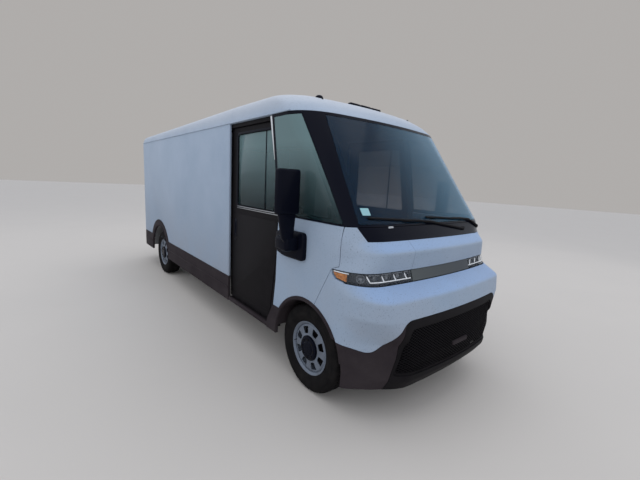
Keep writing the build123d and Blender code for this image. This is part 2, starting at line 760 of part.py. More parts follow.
rail_gap = 2.0
post_line = door_edge_line(0.0, header_low, door_bottom)
post_back_line = [(y - post_depth, z) for y, z in reversed(post_line)]
sill_front = post_line[-1][0]
with BuildPart() as door_frames:
    add(side_region((*post_line, *post_back_line), frame_inner, inner_face))
    add(block((frame_inner, door_edge_at(gutter) - post_depth, header_low), (inner_face, opening_rear, gutter)))
    add(block((liner_outer, opening_rear, header_low), (inner_face, pocket_rear, gutter)))
    add(block((frame_inner, sill_front - post_depth, sill_low), (inner_face, opening_rear, door_bottom - shut_gap)))
    add(block((frame_inner, sill_front - post_depth, sill_low), (inner_face, sill_front, door_bottom)))
    add(block((rail_mid - rail_thick / 2, door_edge_at(header_low) + 2 * shut_gap, door_high - rail_depth + rail_gap),
              (rail_mid + rail_thick / 2, pocket_rear, header_low)))
    mirror(about=Plane.YZ)
save(door_frames.part, "door_frames")

# ================================================================ cladding
forward_low = door_edge_line(0.0, door_kink, door_front_edge[-1][1])
forward_outline = (*forward_low, (forward_low[-1][0], sill_low), (0.0, sill_low), (0.0, door_kink))
cladding_front = 600.0
with BuildPart() as side_cladding:
    add(side_region(forward_outline, inner_face, half_width))
    add(arch(0.0, front_arch_lip, inner_face, half_width))
    add(block((inner_face, cladding_front, sill_low), (half_width, opening_rear, sill_high)))
    add(block((inner_face, opening_rear, sill_low), (half_width, panel_rear, cladding_top)))
    add(arch(wheelbase, rear_arch_lip, inner_face, half_width))
    add(arch(0.0, front_arch, inner_face, half_width), mode=Mode.SUBTRACT)
    add(arch(wheelbase, well_radius, inner_face, half_width), mode=Mode.SUBTRACT)
    add(block((inner_face, far_front, 0.0), (half_width, 0.0, door_kink)), mode=Mode.SUBTRACT)
    add(block((inner_face, far_front, -wide), (half_width, overall_length, sill_low)), mode=Mode.SUBTRACT)
    mirror(about=Plane.YZ)
save(side_cladding.part, "side_cladding")

# ================================================================ cab floor
step_x = half_width - 313.0
step_sheet = 30.0
step_front = 640.0
step_rear_y = 1540.0
firewall_y = -520.0
firewall_top = 1130.0
front_well_radius = front_arch + liner_sheet
front_well_inner = steer_wall - skin
cab_inner = cab_volume(skin + 1.0)
with BuildPart() as cab_floor:
    add(block((-frame_inner, firewall_y + skin, floor_low), (frame_inner, bulkhead_y, cab_floor_top)))
    for low, high in ((step_x - step_sheet, frame_inner), (-frame_inner, step_sheet - step_x)):
        add(block((low, step_front - step_sheet, floor_low), (high, step_rear_y + step_sheet, cab_floor_top)),
            mode=Mode.SUBTRACT)
    for low, high in ((front_well_inner, wide), (-wide, -front_well_inner)):
        add(arch(0.0, front_well_radius, low, high), mode=Mode.SUBTRACT)
save(cab_floor.part, "cab_floor")

with BuildPart() as firewall:
    add(block((-frame_inner, firewall_y, floor_low), (frame_inner, firewall_y + skin, firewall_top)))
    add(cab_inner, mode=Mode.INTERSECT)
save(firewall.part, "firewall")

with BuildPart() as front_wheel_wells:
    add(arch(0.0, front_well_radius, front_well_inner, inner_face))
    add(arch(0.0, front_arch, steer_wall, inner_face), mode=Mode.SUBTRACT)
    add(block((0.0, -front_overhang, -wide), (wide, front_overhang, rail_low)), mode=Mode.SUBTRACT)
    add(block((0.0, -arm_window, rail_low), (steer_wall, arm_window, upper_arm_z + 2 * arm_half)), mode=Mode.SUBTRACT)
    add(cab_inner, mode=Mode.INTERSECT)
    mirror(about=Plane.YZ)
save(front_wheel_wells.part, "front_wheel_wells")

# step wells: an open-sided tray under each side door
well_low = step_x - step_sheet
with BuildPart() as step_wells:
    add(block((well_low, step_front - step_sheet, sill_high - step_sheet),
              (frame_inner, step_rear_y + step_sheet, cab_floor_top)))
    add(block((step_x, step_front, sill_high), (frame_inner, step_rear_y, cab_floor_top)), mode=Mode.SUBTRACT)
    mirror(about=Plane.YZ)
save(step_wells.part, "step_wells")

# ================================================================ cab inside
dash_half = half_width - 103.0
dash_profile = ((-490.0, 1462.0), (-40.0, 1432.0), (40.0, 1370.0), (20.0, 1150.0), (-80.0, 980.0), (-140.0, 980.0),
                (-60.0, 1150.0), (-30.0, 1330.0), (-90.0, 1400.0), (-490.0, 1430.0))
column_tilt = 50.0
column_length = 400.0
column_radius = 45.0
column_drop = 40.0
wheel_centre = (half_width - 603.0, 330.0, 1360.0)
steering_radius = 215.0
steering_tube = 16.0
steering_boss = 55.0
spoke_width = 46.0
spoke_thick = 16.0
steering_sides = 20
column_dir = (0.0, sin(radians(column_tilt)), cos(radians(column_tilt)))
wheel_plane = Plane(origin=(wheel_centre[0], at(wheel_centre[1]), wheel_centre[2]), x_dir=(1, 0, 0), z_dir=column_dir)
dash_space = cab_volume(skin + fit)
with BuildPart() as dashboard:
    add(side_region(dash_profile, -dash_half, dash_half))
    add(dash_space, mode=Mode.INTERSECT)
    with BuildSketch(wheel_plane.offset(-column_drop)):
        Circle(column_radius)
    extrude(amount=-column_length)
save(dashboard.part, "dashboard")

steering_outer = turned_form(
    wheel_plane,
    ((-steering_tube, steering_radius), (0.0, steering_radius + steering_tube), (steering_tube, steering_radius)),
    steering_sides,
)
steering_inner = turned_form(
    wheel_plane,
    ((-steering_tube, steering_radius - 1.0), (0.0, steering_radius - steering_tube),
     (steering_tube, steering_radius - 1.0)),
    steering_sides,
)
with BuildPart() as steering_wheel:
    add(steering_outer)
    add(steering_inner, mode=Mode.SUBTRACT)
    with BuildSketch(wheel_plane.offset(fit - column_drop)):
        Circle(steering_boss)
    extrude(amount=column_drop)
    with BuildSketch(wheel_plane.offset(-spoke_thick / 2)):
        for angle in (0, 180, 270):
            with Locations(Rot(0, 0, angle) * Pos(steering_radius / 2, 0, 0)):
                Rectangle(steering_radius - steering_tube, spoke_width)
    extrude(amount=spoke_thick)
save(steering_wheel.part, "steering_wheel")

seat_x = half_width - 603.0
seat_half = 235.0
seat_front = 700.0
seat_depth = 500.0
seat_rear = seat_front + seat_depth
cushion_low = 990.0
cushion_high = 1110.0
cushion_round = 40.0
pedestal_half = 190.0
pedestal_inset = 60.0
pedestal_depth = 360.0
back_thick = 110.0
back_high = 1790.0
back_lean = 110.0
with BuildPart() as seat_pedestals:
    add(block((seat_x - pedestal_half, seat_front + pedestal_inset, cab_floor_top),
              (seat_x + pedestal_half, seat_front + pedestal_inset + pedestal_depth, cushion_low)))
    mirror(about=Plane.YZ)
save(seat_pedestals.part, "seat_pedestals")
with BuildPart() as seat_cushions:
    add(block((seat_x - seat_half, seat_front, cushion_low), (seat_x + seat_half, seat_rear, cushion_high)))
    chamfer(seat_cushions.edges().filter_by(Axis.Z), cushion_round)
    mirror(about=Plane.YZ)
save(seat_cushions.part, "seat_cushions")
back_outline = (
    (seat_rear - back_thick, cushion_high + fit), (seat_rear, cushion_high + fit),
    (seat_rear + back_lean, back_high), (seat_rear - back_thick + back_lean, back_high),
)
with BuildPart() as seat_backs:
    add(side_region(back_outline, seat_x - seat_half, seat_x + seat_half))
    chamfer(seat_backs.edges().filter_by(Axis.X).group_by(Axis.Z)[-1], cushion_round)
    mirror(about=Plane.YZ)
save(seat_backs.part, "seat_backs")

# ================================================================ mirrors
mirror_x = (half_width + 29.0, half_width + 267.0)
mirror_y = (75.0, 190.0)
mirror_z = (1623.0, 2001.0)
mirror_round = 28.0
arm_x = (half_width + 49.0, half_width + 192.0)
arm_y = (95.0, 175.0)
plate_y = (13.0, 454.0)
plate_z = (1220.0, 1470.0)
plate_thick = 20.0
plate_round = 60.0
plate_fall = 40.0
arm_outline = ((half_width + plate_thick, plate_z[0] + 130.0), (arm_x[1] - 50.0, plate_z[0] + 130.0),
               (arm_x[1], plate_z[0] + 220.0), (arm_x[1], mirror_z[0]), (arm_x[0], mirror_z[0]),
               (arm_x[0], plate_z[0] + 240.0), (half_width + plate_thick, plate_z[0] + 220.0))
with BuildPart() as mirrors:
    with BuildSketch(Plane.XY.offset(mirror_z[0])):
        with Locations(((mirror_x[0] + mirror_x[1]) / 2, at((mirror_y[0] + mirror_y[1]) / 2))):
            Rectangle(mirror_x[1] - mirror_x[0], mirror_y[1] - mirror_y[0])
    extrude(amount=mirror_z[1] - mirror_z[0])
    chamfer(mirrors.edges(), mirror_round)
    add(front_region(arm_outline, arm_y[0], arm_y[1]))
    with BuildSketch(Plane.YZ.offset(half_width)):
        with BuildLine():
            plate_line = Polyline((at(plate_y[0]), plate_z[0] + plate_fall), (at(plate_y[1]), plate_z[0]),
                                  (at(plate_y[1]), plate_z[1]), (at(plate_y[0]), plate_z[1]), close=True)
            fillet(plate_line.vertices(), plate_round)
        make_face()
    extrude(amount=plate_thick)
    mirror(about=Plane.YZ)
save(mirrors.part, "mirrors")

# ================================================================ chassis
frame_front = -620.0
cross_front = frame_front + cross_depth
front_bay = axle_gap
rear_bay = wheelbase - 2 * axle_gap - 200.0
cross_stations = (cross_front, -axle_gap, front_bay, front_bay + (rear_bay - front_bay) / 3,
                  front_bay + 2 * (rear_bay - front_bay) / 3, rear_bay, wheelbase - axle_gap - cross_depth,
                  wheelbase + axle_gap + cross_depth, body_rear - 190.0)
with BuildPart() as frame_rails:
    add(block((rail_inner, frame_front, rail_low), (rail_outer, shutter_back, floor_low)))
    mirror(about=Plane.YZ)
save(frame_rails.part, "frame_rails")
with BuildPart() as cross_members:
    for station in cross_stations:
        add(block((-rail_inner, station, rail_low + 20.0), (rail_inner, station + cross_depth, floor_low - 20.0)))
save(cross_members.part, "cross_members")

battery_front = 760.0
battery_rear = wheelbase - 800.0
battery_half = half_width - 353.0
battery_low = 290.0
battery_round = 40.0
battery_tray = 30.0
with BuildPart() as battery_pack:
    add(block((-battery_half, battery_front, battery_low), (battery_half, battery_rear, rail_low)))
    chamfer(battery_pack.edges().group_by(Axis.Z)[0], battery_tray)
save(battery_pack.part, "battery_pack")

motor_half = 240.0
motor_reach = 240.0
motor_low = 285.0
motor_high = 610.0
motor_chamfer = 60.0
with BuildPart() as drive_units:
    for station in (0.0, wheelbase):
        add(block((-motor_half, station - motor_reach, motor_low), (motor_half, station + motor_reach, motor_high)))
    chamfer(drive_units.edges().filter_by(Axis.X).group_by(Axis.Z)[0], motor_chamfer)
save(drive_units.part, "drive_units")

coil_seat = 20.0
coil_top = tyre_radius + front_arch - 40.0
with BuildPart() as front_axle:
    add(block((motor_half, -arm_half, lower_arm_z - arm_half), (kingpin_x + arm_half, arm_half, lower_arm_z)))
    add(block((rail_outer, -arm_half, upper_arm_z), (kingpin_x + arm_half, arm_half, upper_arm_z + arm_half)))
    add(block((coil_x - coil_radius, -coil_radius, lower_arm_z), (coil_x + coil_radius, coil_radius, lower_arm_z + coil_seat)))
    with BuildSketch(Plane.XY.offset(lower_arm_z)):
        with Locations((coil_x, at(0.0))):
            RegularPolygon(coil_radius, hub_sides)
    extrude(amount=coil_top - lower_arm_z)
    mirror(about=Plane.YZ)
save(front_axle.part, "front_axle")

spring_half = 30.0
spring_reach = 620.0
leaf_thick = 20.0
axle_tube = 55.0
tube_end = track_half - tyre_width / 2 - 20.0
spring_mid = (rail_inner + rail_outer) / 2
spring_low = tyre_radius - axle_tube
leaf_steps = 6
leaf_line = curve_points((wheelbase - spring_reach, rail_low), (wheelbase, 2 * spring_low - rail_low + leaf_thick),
                         (wheelbase + spring_reach, rail_low), leaf_steps)
with BuildPart() as rear_axle:
    add(disc(wheelbase, tyre_radius, axle_tube, motor_half, tube_end))
    add(disc(wheelbase, tyre_radius, spindle_radius, tube_end, track_half + spindle_reach))
    add(side_region([*leaf_line, *[(y, z - leaf_thick) for y, z in reversed(leaf_line)]],
                    spring_mid - spring_half, spring_mid + spring_half))
    mirror(about=Plane.YZ)
save(rear_axle.part, "rear_axle")


# ================================================================ wheels
def wheel_plane_at(side, station):
    """Plane in the middle of a wheel whose normal points outboard."""
    return Plane(origin=(side * track_half, at(station), tyre_radius), x_dir=(0, 1, 0), z_dir=(side, 0, 0))


disc_out = 72.0
disc_thick = 14.0
shoulder_radius = hub_radius + 36.0
shoulder_out = 84.0
hub_out = 108.0
hub_in = 20.0
hub_chamfer = 10.0
bore_end = spindle_reach + 2.0
hole_ring = 165.0
hole_height = 60.0
hole_wide = 62.0
hole_side_angle = 98.0
rim_half = rim_width / 2
rim_inner = rim_seat - rim_wall
over = 1.0
rim_steps = ((-rim_half, rim_flange), (flange_slope - rim_half, rim_seat), (rim_half - flange_slope, rim_seat),
             (rim_half, rim_flange))


def make_rim(side, station):
    """Steel rim with a pierced disc, a hub cap and a bore for the spindle."""
    plane = wheel_plane_at(side, station)
    outboard_dish = turned_form(plane, ((disc_out, rim_inner), (rim_half + over, rim_flange - rim_wall)))
    inboard_dish = turned_form(
        plane,
        ((-rim_half - over, rim_flange - rim_wall), (flange_slope - rim_half, rim_inner), (disc_out - disc_thick, rim_inner)),
    )
    hub_steps = ((hub_in, hub_radius), (hub_out - hub_chamfer, hub_radius), (hub_out, hub_radius - hub_chamfer))
    with BuildPart() as rim:
        add(turned_form(plane, rim_steps))
        add(outboard_dish, mode=Mode.SUBTRACT)
        add(inboard_dish, mode=Mode.SUBTRACT)
        with BuildSketch(plane.offset(disc_out - disc_thick)):
            with PolarLocations(hole_ring, hand_holes):
                with Locations(Rot(0, 0, -90)):
                    Trapezoid(hole_wide, hole_height, hole_side_angle)
        extrude(amount=disc_thick, mode=Mode.SUBTRACT)
        add(turned_form(plane, ((disc_out - disc_thick, shoulder_radius), (shoulder_out, hub_radius)), hub_sides))
        add(turned_form(plane, hub_steps, hub_sides))
        with BuildSketch(plane.offset(hub_in)):
            Circle(spindle_radius + running)
        extrude(amount=bore_end - hub_in, mode=Mode.SUBTRACT)
    return rim.part


def make_tyre(side, station):
    """Tyre seated on the rim."""
    plane = wheel_plane_at(side, station)
    half = tyre_width / 2
    half_steps = ((rim_half - over, rim_flange + flange_slope), (half, 320.0), (half - 12.0, tyre_radius - 26.0),
                  (half - 34.0, tyre_radius))
    steps = [*[(-distance, radius) for distance, radius in half_steps], *reversed(half_steps)]
    bed = turned_form(plane, [(distance, radius + fit) for distance, radius in rim_steps])
    with BuildPart() as tyre:
        add(turned_form(plane, steps, tyre_sides))
        add(bed, mode=Mode.SUBTRACT)
    return tyre.part


def make_knuckle(side):
    """Upright between the arms, with the spindle that carries a front wheel."""
    low_x, high_x = sorted((side * kingpin_x, side * (track_half + spindle_reach)))
    with BuildPart() as knuckle:
        with BuildSketch(Plane.XY.offset(lower_arm_z + fit)):
            with Locations((side * kingpin_x, at(0.0))):
                Circle(kingpin_radius)
        extrude(amount=upper_arm_z - lower_arm_z - 2 * fit)
        add(disc(0.0, tyre_radius, spindle_radius, low_x, high_x))
    return knuckle.part


for side, side_name in ((1, "left"), (-1, "right")):
    save(make_knuckle(side), f"knuckle_{side_name}")
    for station, end_name in ((0.0, "front"), (wheelbase, "rear")):
        save(make_rim(side, station), f"wheel_{end_name}_{side_name}")
        save(make_tyre(side, station), f"tyre_{end_name}_{side_name}")
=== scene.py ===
"""Dresses the electric delivery van: smooth body skin, glass, lamps, wheels, trim and cabin.

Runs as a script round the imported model. Lengths are metres, the van faces -Y, its left
(driver's) side is +X and the ground is at Z 0. Stations along the van count from the
front axle, "back" distances count from the foremost point of the nose.
"""

import json
from collections import namedtuple
from math import asin, atan2, cos, degrees, pi, radians, sin

import bmesh
import bpy
import numpy as np
from bpy.props import FloatProperty, FloatVectorProperty, IntProperty, PointerProperty
from mathutils import Matrix, Vector


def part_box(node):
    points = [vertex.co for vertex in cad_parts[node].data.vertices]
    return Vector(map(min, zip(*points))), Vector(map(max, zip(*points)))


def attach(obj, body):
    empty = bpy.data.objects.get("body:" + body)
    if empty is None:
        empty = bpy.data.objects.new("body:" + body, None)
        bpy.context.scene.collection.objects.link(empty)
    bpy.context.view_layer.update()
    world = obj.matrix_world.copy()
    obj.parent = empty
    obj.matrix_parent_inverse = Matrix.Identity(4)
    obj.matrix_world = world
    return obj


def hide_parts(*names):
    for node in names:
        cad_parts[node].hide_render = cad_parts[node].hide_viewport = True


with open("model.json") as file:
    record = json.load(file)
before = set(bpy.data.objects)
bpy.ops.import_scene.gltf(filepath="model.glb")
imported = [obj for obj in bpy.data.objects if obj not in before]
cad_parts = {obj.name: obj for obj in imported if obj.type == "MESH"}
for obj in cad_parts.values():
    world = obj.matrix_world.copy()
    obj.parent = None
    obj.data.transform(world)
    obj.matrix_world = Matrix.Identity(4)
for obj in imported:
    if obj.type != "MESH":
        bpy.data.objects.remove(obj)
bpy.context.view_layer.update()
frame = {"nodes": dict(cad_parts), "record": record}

bl_info = {
    "name": "Delivery Van Dresser",
    "version": (1, 0, 0),
    "blender": (4, 5, 0),
    "location": "View3D > Sidebar > Van",
    "description": "Builds the visible skin, glass, lamps, wheels and cabin of a walk-in electric van",
    "category": "Object",
}

# ------------------------------------------------------------------ places taken from the frame
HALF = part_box("side_panels")[1].x
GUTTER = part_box("side_panels")[1].z
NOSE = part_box("grille_mesh")[0].y
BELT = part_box("windshield_frame")[0].z
AXLE = (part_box("tyre_front_left")[0].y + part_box("tyre_front_left")[1].y) / 2
REAR_AXLE = (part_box("tyre_rear_left")[0].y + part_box("tyre_rear_left")[1].y) / 2
TYRE_RADIUS = (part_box("tyre_front_left")[1].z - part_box("tyre_front_left")[0].z) / 2
TRACK_HALF = (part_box("tyre_front_left")[0].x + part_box("tyre_front_left")[1].x) / 2
OPENING_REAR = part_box("side_panels")[0].y
PANEL_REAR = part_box("side_panels")[1].y
BODY_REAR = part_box("cargo_roof")[1].y
CLADDING_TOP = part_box("side_panels")[0].z
SILL_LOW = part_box("side_cladding")[0].z
ROOF_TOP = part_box("cab_roof")[1].z


def at(station):
    """Y of a station counted from the front axle."""
    return AXLE + station


# ------------------------------------------------------------------ forms of the nose and the roof
# One horizontal outline of the cab: a shallow bow, a knee, a corner drawn by its pull point
# and the flat side. "in" values count from the flat side and "back" values from the nose.
Level = namedtuple("Level", "z nose knee_in knee_back pull_in pull_back side_back")
NOSE_LEVELS = (
    Level(0.300, 0.105, 0.433, 0.130, 0.243, 0.210, 0.425),
    Level(0.390, 0.040, 0.413, 0.075, 0.233, 0.180, 0.435),
    Level(0.600, 0.000, 0.403, 0.045, 0.223, 0.160, 0.435),
    Level(0.700, 0.015, 0.393, 0.057, 0.213, 0.170, 0.445),
    Level(0.910, 0.045, 0.253, 0.087, 0.023, 0.125, 0.485),
    Level(1.060, 0.068, 0.233, 0.113, 0.023, 0.125, 0.505),
    Level(1.150, 0.221, 0.233, 0.267, 0.028, 0.300, 0.605),
    Level(1.240, 0.251, 0.233, 0.300, 0.013, 0.335, 0.625),
    Level(1.395, 0.230, 0.333, 0.257, 0.163, 0.285, 0.525),
    Level(1.475, 0.317, 0.333, 0.345, 0.163, 0.365, 0.505),
    Level(BELT, 0.388, 0.303, 0.410, 0.100, 0.425, 0.530),
    Level(GUTTER, 0.982, 0.460, 1.022, 0.035, 1.046, 1.335),
)
CAB_RISE = ROOF_TOP - GUTTER
BROW_LEVELS = (
    Level(0.0, 0.982, 0.460, 1.022, 0.035, 1.046, 1.335),
    Level(0.36 * CAB_RISE, 1.095, 0.490, 1.135, 0.050, 1.162, 1.460),
    Level(0.69 * CAB_RISE, 1.250, 0.520, 1.288, 0.085, 1.322, 1.630),
    Level(0.91 * CAB_RISE, 1.445, 0.555, 1.490, 0.130, 1.528, 1.850),
    Level(1.13 * CAB_RISE, 1.785, 0.610, 1.830, 0.200, 1.868, 2.190),
)
CREASE_RISE, CREASE_IN = 0.060, 0.014
EDGE_IN, ROOF_PULL_IN, CROWN = 0.150, 0.036, 0.042
REAR_FALL = 0.080
REAR_TAPER = 0.068

LAMP_LOW, LAMP_HIGH = 1.150, 1.240
LAMP_TIP = (at(-0.322), LAMP_HIGH)
LAMP_END = ((at(-0.330), 1.200), (at(-0.362), 1.168), (at(-0.460), LAMP_LOW))
SEAM_LOW = (at(-0.390), 1.267)
SEAM_TOP = (at(-0.415), BELT)
ARCH_SEAM = (at(-0.130), 0.885)
FAR = NOSE - 0.1
BAR_END = 0.460
FRONT_ARCH, FRONT_LIP = 0.455, 0.490
REAR_ARCH, REAR_LIP = 0.515, 0.640
FACE_TOP = 0.910
DOOR_EDGE = ((at(0.649), GUTTER), (at(0.476), 1.569), (at(0.490), 0.934), (at(0.521), 0.671), (at(0.629), 0.484))
DIP = ((HALF - 0.318, FACE_TOP), (HALF - 0.218, 0.706), (HALF - 0.148, 0.615), (HALF, 0.662))
GRILLE = ((HALF - 0.288, 0.440), (HALF - 0.311, 0.660), (HALF - 0.388, 0.850))


# ------------------------------------------------------------------ grids and meshes
def gaussian(sigma):
    """Even-sided smoothing weights for a spread given in grid steps."""
    reach = int(3 * sigma) + 1
    weights = np.exp(-0.5 * (np.arange(-reach, reach + 1) / sigma) ** 2)
    return weights / weights.sum()


def smoothed(grid, sigma, axis, mirror_start=False):
    """The grid with its creases rounded along one axis; ends run on straight, or mirror across X 0."""
    weights = gaussian(sigma)
    reach = len(weights) // 2
    rows = np.moveaxis(grid, axis, 0)
    steps = np.arange(reach, 0, -1).reshape(-1, *([1] * (rows.ndim - 1)))
    if mirror_start:
        before = rows[1 : reach + 1][::-1] * np.array([-1.0, 1.0, 1.0])
    else:
        before = rows[0] - steps * (rows[1] - rows[0])
    after = rows[-1] + steps[::-1] * (rows[-1] - rows[-2])
    padded_rows = np.concatenate([before, rows, after])
    result = sum(w * padded_rows[i : i + len(rows)] for i, w in enumerate(weights))
    return np.moveaxis(result, 0, axis)


def pulled(t, start, pull, end):
    """Place along a curve from start to end, drawn towards a pull point."""
    return (1 - t) ** 2 * start + 2 * t * (1 - t) * pull + t**2 * end


def along_levels(levels, heights):
    """Each field of the levels, interpolated at the heights, as columns."""
    zs = [level.z for level in levels]
    return [np.interp(heights, zs, [level[i] for level in levels])[:, None] for i in range(1, 7)]


def half_outlines(side_x, fields, rear, counts):
    """Grid of (x, y) for the half outlines at each height: bow, corner and flat side."""
    nose, knee_in, knee_back, pull_in, pull_back, side_back = fields
    bow_count, corner_count, side_count = counts
    knee_x = HALF - knee_in
    pull_x = np.minimum(HALF - pull_in, side_x - 0.012)
    t = np.linspace(0, 1, bow_count, endpoint=False)[None, :]
    bow = (knee_x * t, nose + (knee_back - nose) * t**2)
    t = np.linspace(0, 1, corner_count, endpoint=False)[None, :]
    corner = (pulled(t, knee_x, pull_x, side_x), pulled(t, knee_back, pull_back, side_back))
    t = np.linspace(0, 1, side_count)[None, :]
    side = (side_x + 0 * (t + side_back), side_back + (rear - side_back) * t)
    x = np.concatenate([bow[0], corner[0], side[0]], axis=1)
    y = np.concatenate([bow[1], corner[1], side[1]], axis=1)
    return x, y + NOSE


NOSE_COUNTS = (34, 26, 44)
NOSE_STEP = 0.0115


def nose_grid():
    """Left half of the cab skin as rows of points from sill to gutter."""
    heights = np.linspace(NOSE_LEVELS[0].z, GUTTER, int((GUTTER - NOSE_LEVELS[0].z) / NOSE_STEP))
    heights = np.unique(np.concatenate([heights, [BELT, LAMP_LOW, LAMP_HIGH]]))
    fields = along_levels(NOSE_LEVELS, heights)
    x, y = half_outlines(HALF, fields, at(0.70) - NOSE, NOSE_COUNTS)
    grid = np.stack([x, y, np.repeat(heights[:, None], x.shape[1], axis=1)], axis=2)
    softer = smoothed(grid, 0.8, 0)
    softer[:, :, 2] = grid[:, :, 2]
    return smoothed(softer, 1.6, 1, mirror_start=True)


SKIN = nose_grid()


def skin_depth(x, z):
    """Y of the nose skin at a place in the front view."""
    row = int(np.clip(np.searchsorted(SKIN[:, 0, 2], z), 1, len(SKIN) - 1))
    low, high = SKIN[row - 1], SKIN[row]
    share = (z - low[0, 2]) / (high[0, 2] - low[0, 2])
    line = low * (1 - share) + high * share
    return float(np.interp(abs(x), line[:, 0], line[:, 1]))


def grid_mesh(grid):
    """A bmesh of a grid of points."""
    bm = bmesh.new()
    verts = [[bm.verts.new(point) for point in row] for row in grid]
    for low, high in zip(verts, verts[1:]):
        for i in range(1, len(low)):
            bm.faces.new((low[i - 1], low[i], high[i], high[i - 1]))
    return bm


def inside(outline, point):
    """True where a flat point lies in a closed outline."""
    result = False
    for (ax, ay), (bx, by) in zip(outline, [*outline[1:], outline[0]]):
        if (ay > point[1]) != (by > point[1]) and point[0] < (bx - ax) * (point[1] - ay) / (by - ay) + ax:
            result = not result
    return result


SIDE_VIEW, FRONT_VIEW = (1, 2), (0, 2)
# how far past the ends of an outline's edge its cut still reaches
CUT_REACH = 0.002


def trim(bm, outline, axes, keep):
    """Cuts the mesh along an outline drawn in a view and keeps what is inside it, or outside."""
    for start, end in zip(outline, [*outline[1:], outline[0]]):
        a, b = np.array(start), np.array(end)
        low, high = np.minimum(a, b) - CUT_REACH, np.maximum(a, b) + CUT_REACH
        faces = []
        for face in bm.faces:
            us = [v.co[axes[0]] for v in face.verts]
            vs = [v.co[axes[1]] for v in face.verts]
            if max(us) >= low[0] and min(us) <= high[0] and max(vs) >= low[1] and min(vs) <= high[1]:
                faces.append(face)
        if not faces:
            continue
        place, normal = Vector(), Vector()
        place[axes[0]], place[axes[1]] = a
        normal[axes[0]], normal[axes[1]] = b[1] - a[1], a[0] - b[0]
        edges = {edge for face in faces for edge in face.edges}
        verts = {vert for face in faces for vert in face.verts}
        bmesh.ops.bisect_plane(bm, geom=[*faces, *edges, *verts], dist=1e-5, plane_co=place, plane_no=normal)
    wrong = []
    for face in bm.faces:
        centre = face.calc_center_median()
        if inside(outline, (centre[axes[0]], centre[axes[1]])) != keep:
            wrong.append(face)
    bmesh.ops.delete(bm, geom=wrong, context="FACES")
    return bm


def rectangle(low_u, low_v, high_u, high_v):
    """Outline of an upright rectangle."""
    return [(low_u, low_v), (high_u, low_v), (high_u, high_v), (low_u, high_v)]


def inset(outline, distance):
    """A closed outline drawn in by a distance, or out by a negative one."""
    points = [Vector(p) for p in outline]
    area = sum(a.x * b.y - b.x * a.y for a, b in zip(points, [*points[1:], points[0]]))
    turn = 1 if area > 0 else -1
    result = []
    for before, here, after in zip([points[-1], *points[:-1]], points, [*points[1:], points[0]]):
        first, second = (here - before).normalized(), (after - here).normalized()
        n1, n2 = Vector((-first.y, first.x)) * turn, Vector((-second.y, second.x)) * turn
        mitre = (n1 + n2) / max(1 + n1.dot(n2), 0.3)
        result.append(tuple(here + mitre * distance))
    return result


def rounded(outline, radius, count=6):
    """A closed outline with its corners rounded."""
    result = []
    size = len(outline)
    for i in range(size):
        before, here, after = Vector(outline[i - 1]), Vector(outline[i]), Vector(outline[(i + 1) % size])
        a, b = (before - here), (after - here)
        reach = min(radius, a.length * 0.45, b.length * 0.45)
        start, end = here + a.normalized() * reach, here + b.normalized() * reach
        for t in np.linspace(0, 1, count):
            result.append(tuple(start * (1 - t) ** 2 + here * (2 * t * (1 - t)) + end * t**2))
    return result


def arc(centre, radius, start, end, count):
    """Points of an arc between two angles in degrees."""
    angles = [radians(start + (end - start) * i / (count - 1)) for i in range(count)]
    return [(centre[0] + radius * cos(a), centre[1] + radius * sin(a)) for a in angles]


def mirrored(bm):
    """Adds the other half across X 0 and joins the halves."""
    copy = bmesh.ops.duplicate(bm, geom=[*bm.verts, *bm.edges, *bm.faces])["geom"]
    verts = [item for item in copy if isinstance(item, bmesh.types.BMVert)]
    faces = [item for item in copy if isinstance(item, bmesh.types.BMFace)]
    for vert in verts:
        vert.co.x = -vert.co.x
    bmesh.ops.reverse_faces(bm, faces=faces)
    bmesh.ops.remove_doubles(bm, verts=bm.verts, dist=1e-5)
    return bm


def joined(*parts):
    """One bmesh from several, which are freed."""
    whole = bmesh.new()
    for part in parts:
        held = bpy.data.meshes.new("held")
        part.to_mesh(held)
        part.free()
        whole.from_mesh(held)
        bpy.data.meshes.remove(held)
    return whole


def bevelled(bm, edges, width, segments):
    """Rounds off the given edges."""
    bmesh.ops.bevel(bm, geom=edges, offset=width, segments=segments, profile=0.5, affect="EDGES", clamp_overlap=True)


def thickened(bm, depth, bevel=0.0015):
    """Gives an open skin a depth inwards, with softened rims."""
    bm.normal_update()
    normals = {vert: vert.normal.copy() for vert in bm.verts}
    rims = [edge for edge in bm.edges if edge.is_boundary]
    copy = bmesh.ops.duplicate(bm, geom=[*bm.verts, *bm.edges, *bm.faces])
    twin = copy["vert_map"]
    inner_faces = [item for item in copy["geom"] if isinstance(item, bmesh.types.BMFace)]
    for vert, normal in normals.items():
        twin[vert].co = vert.co - normal * depth
    bmesh.ops.reverse_faces(bm, faces=inner_faces)
    for edge in rims:
        face = edge.link_faces[0]
        loop = next(corner for corner in face.loops if corner.edge == edge)
        a, b = loop.vert, loop.link_loop_next.vert
        bm.faces.new((b, a, twin[a], twin[b]))
    if bevel:
        bevelled(bm, [edge for edge in rims if edge.is_valid], bevel, 2)
    return bm


def piece(name, bm, material, body, replaces=(), angle=32.0):
    """Makes a finished object from a bmesh: smooth faces, sharp edges past an angle, one material."""
    bmesh.ops.remove_doubles(bm, verts=bm.verts, dist=1e-6)
    bm.normal_update()
    limit = radians(angle)
    for face in bm.faces:
        face.smooth = True
    for edge in bm.edges:
        edge.smooth = len(edge.link_faces) == 2 and edge.calc_face_angle(0.0) < limit
    mesh = bpy.data.meshes.new(name)
    bm.to_mesh(mesh)
    bm.free()
    mesh.materials.append(finish(material))
    obj = bpy.data.objects.new(name, mesh)
    bpy.context.scene.collection.objects.link(obj)
    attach(obj, body)
    if replaces:
        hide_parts(*replaces)
    return obj


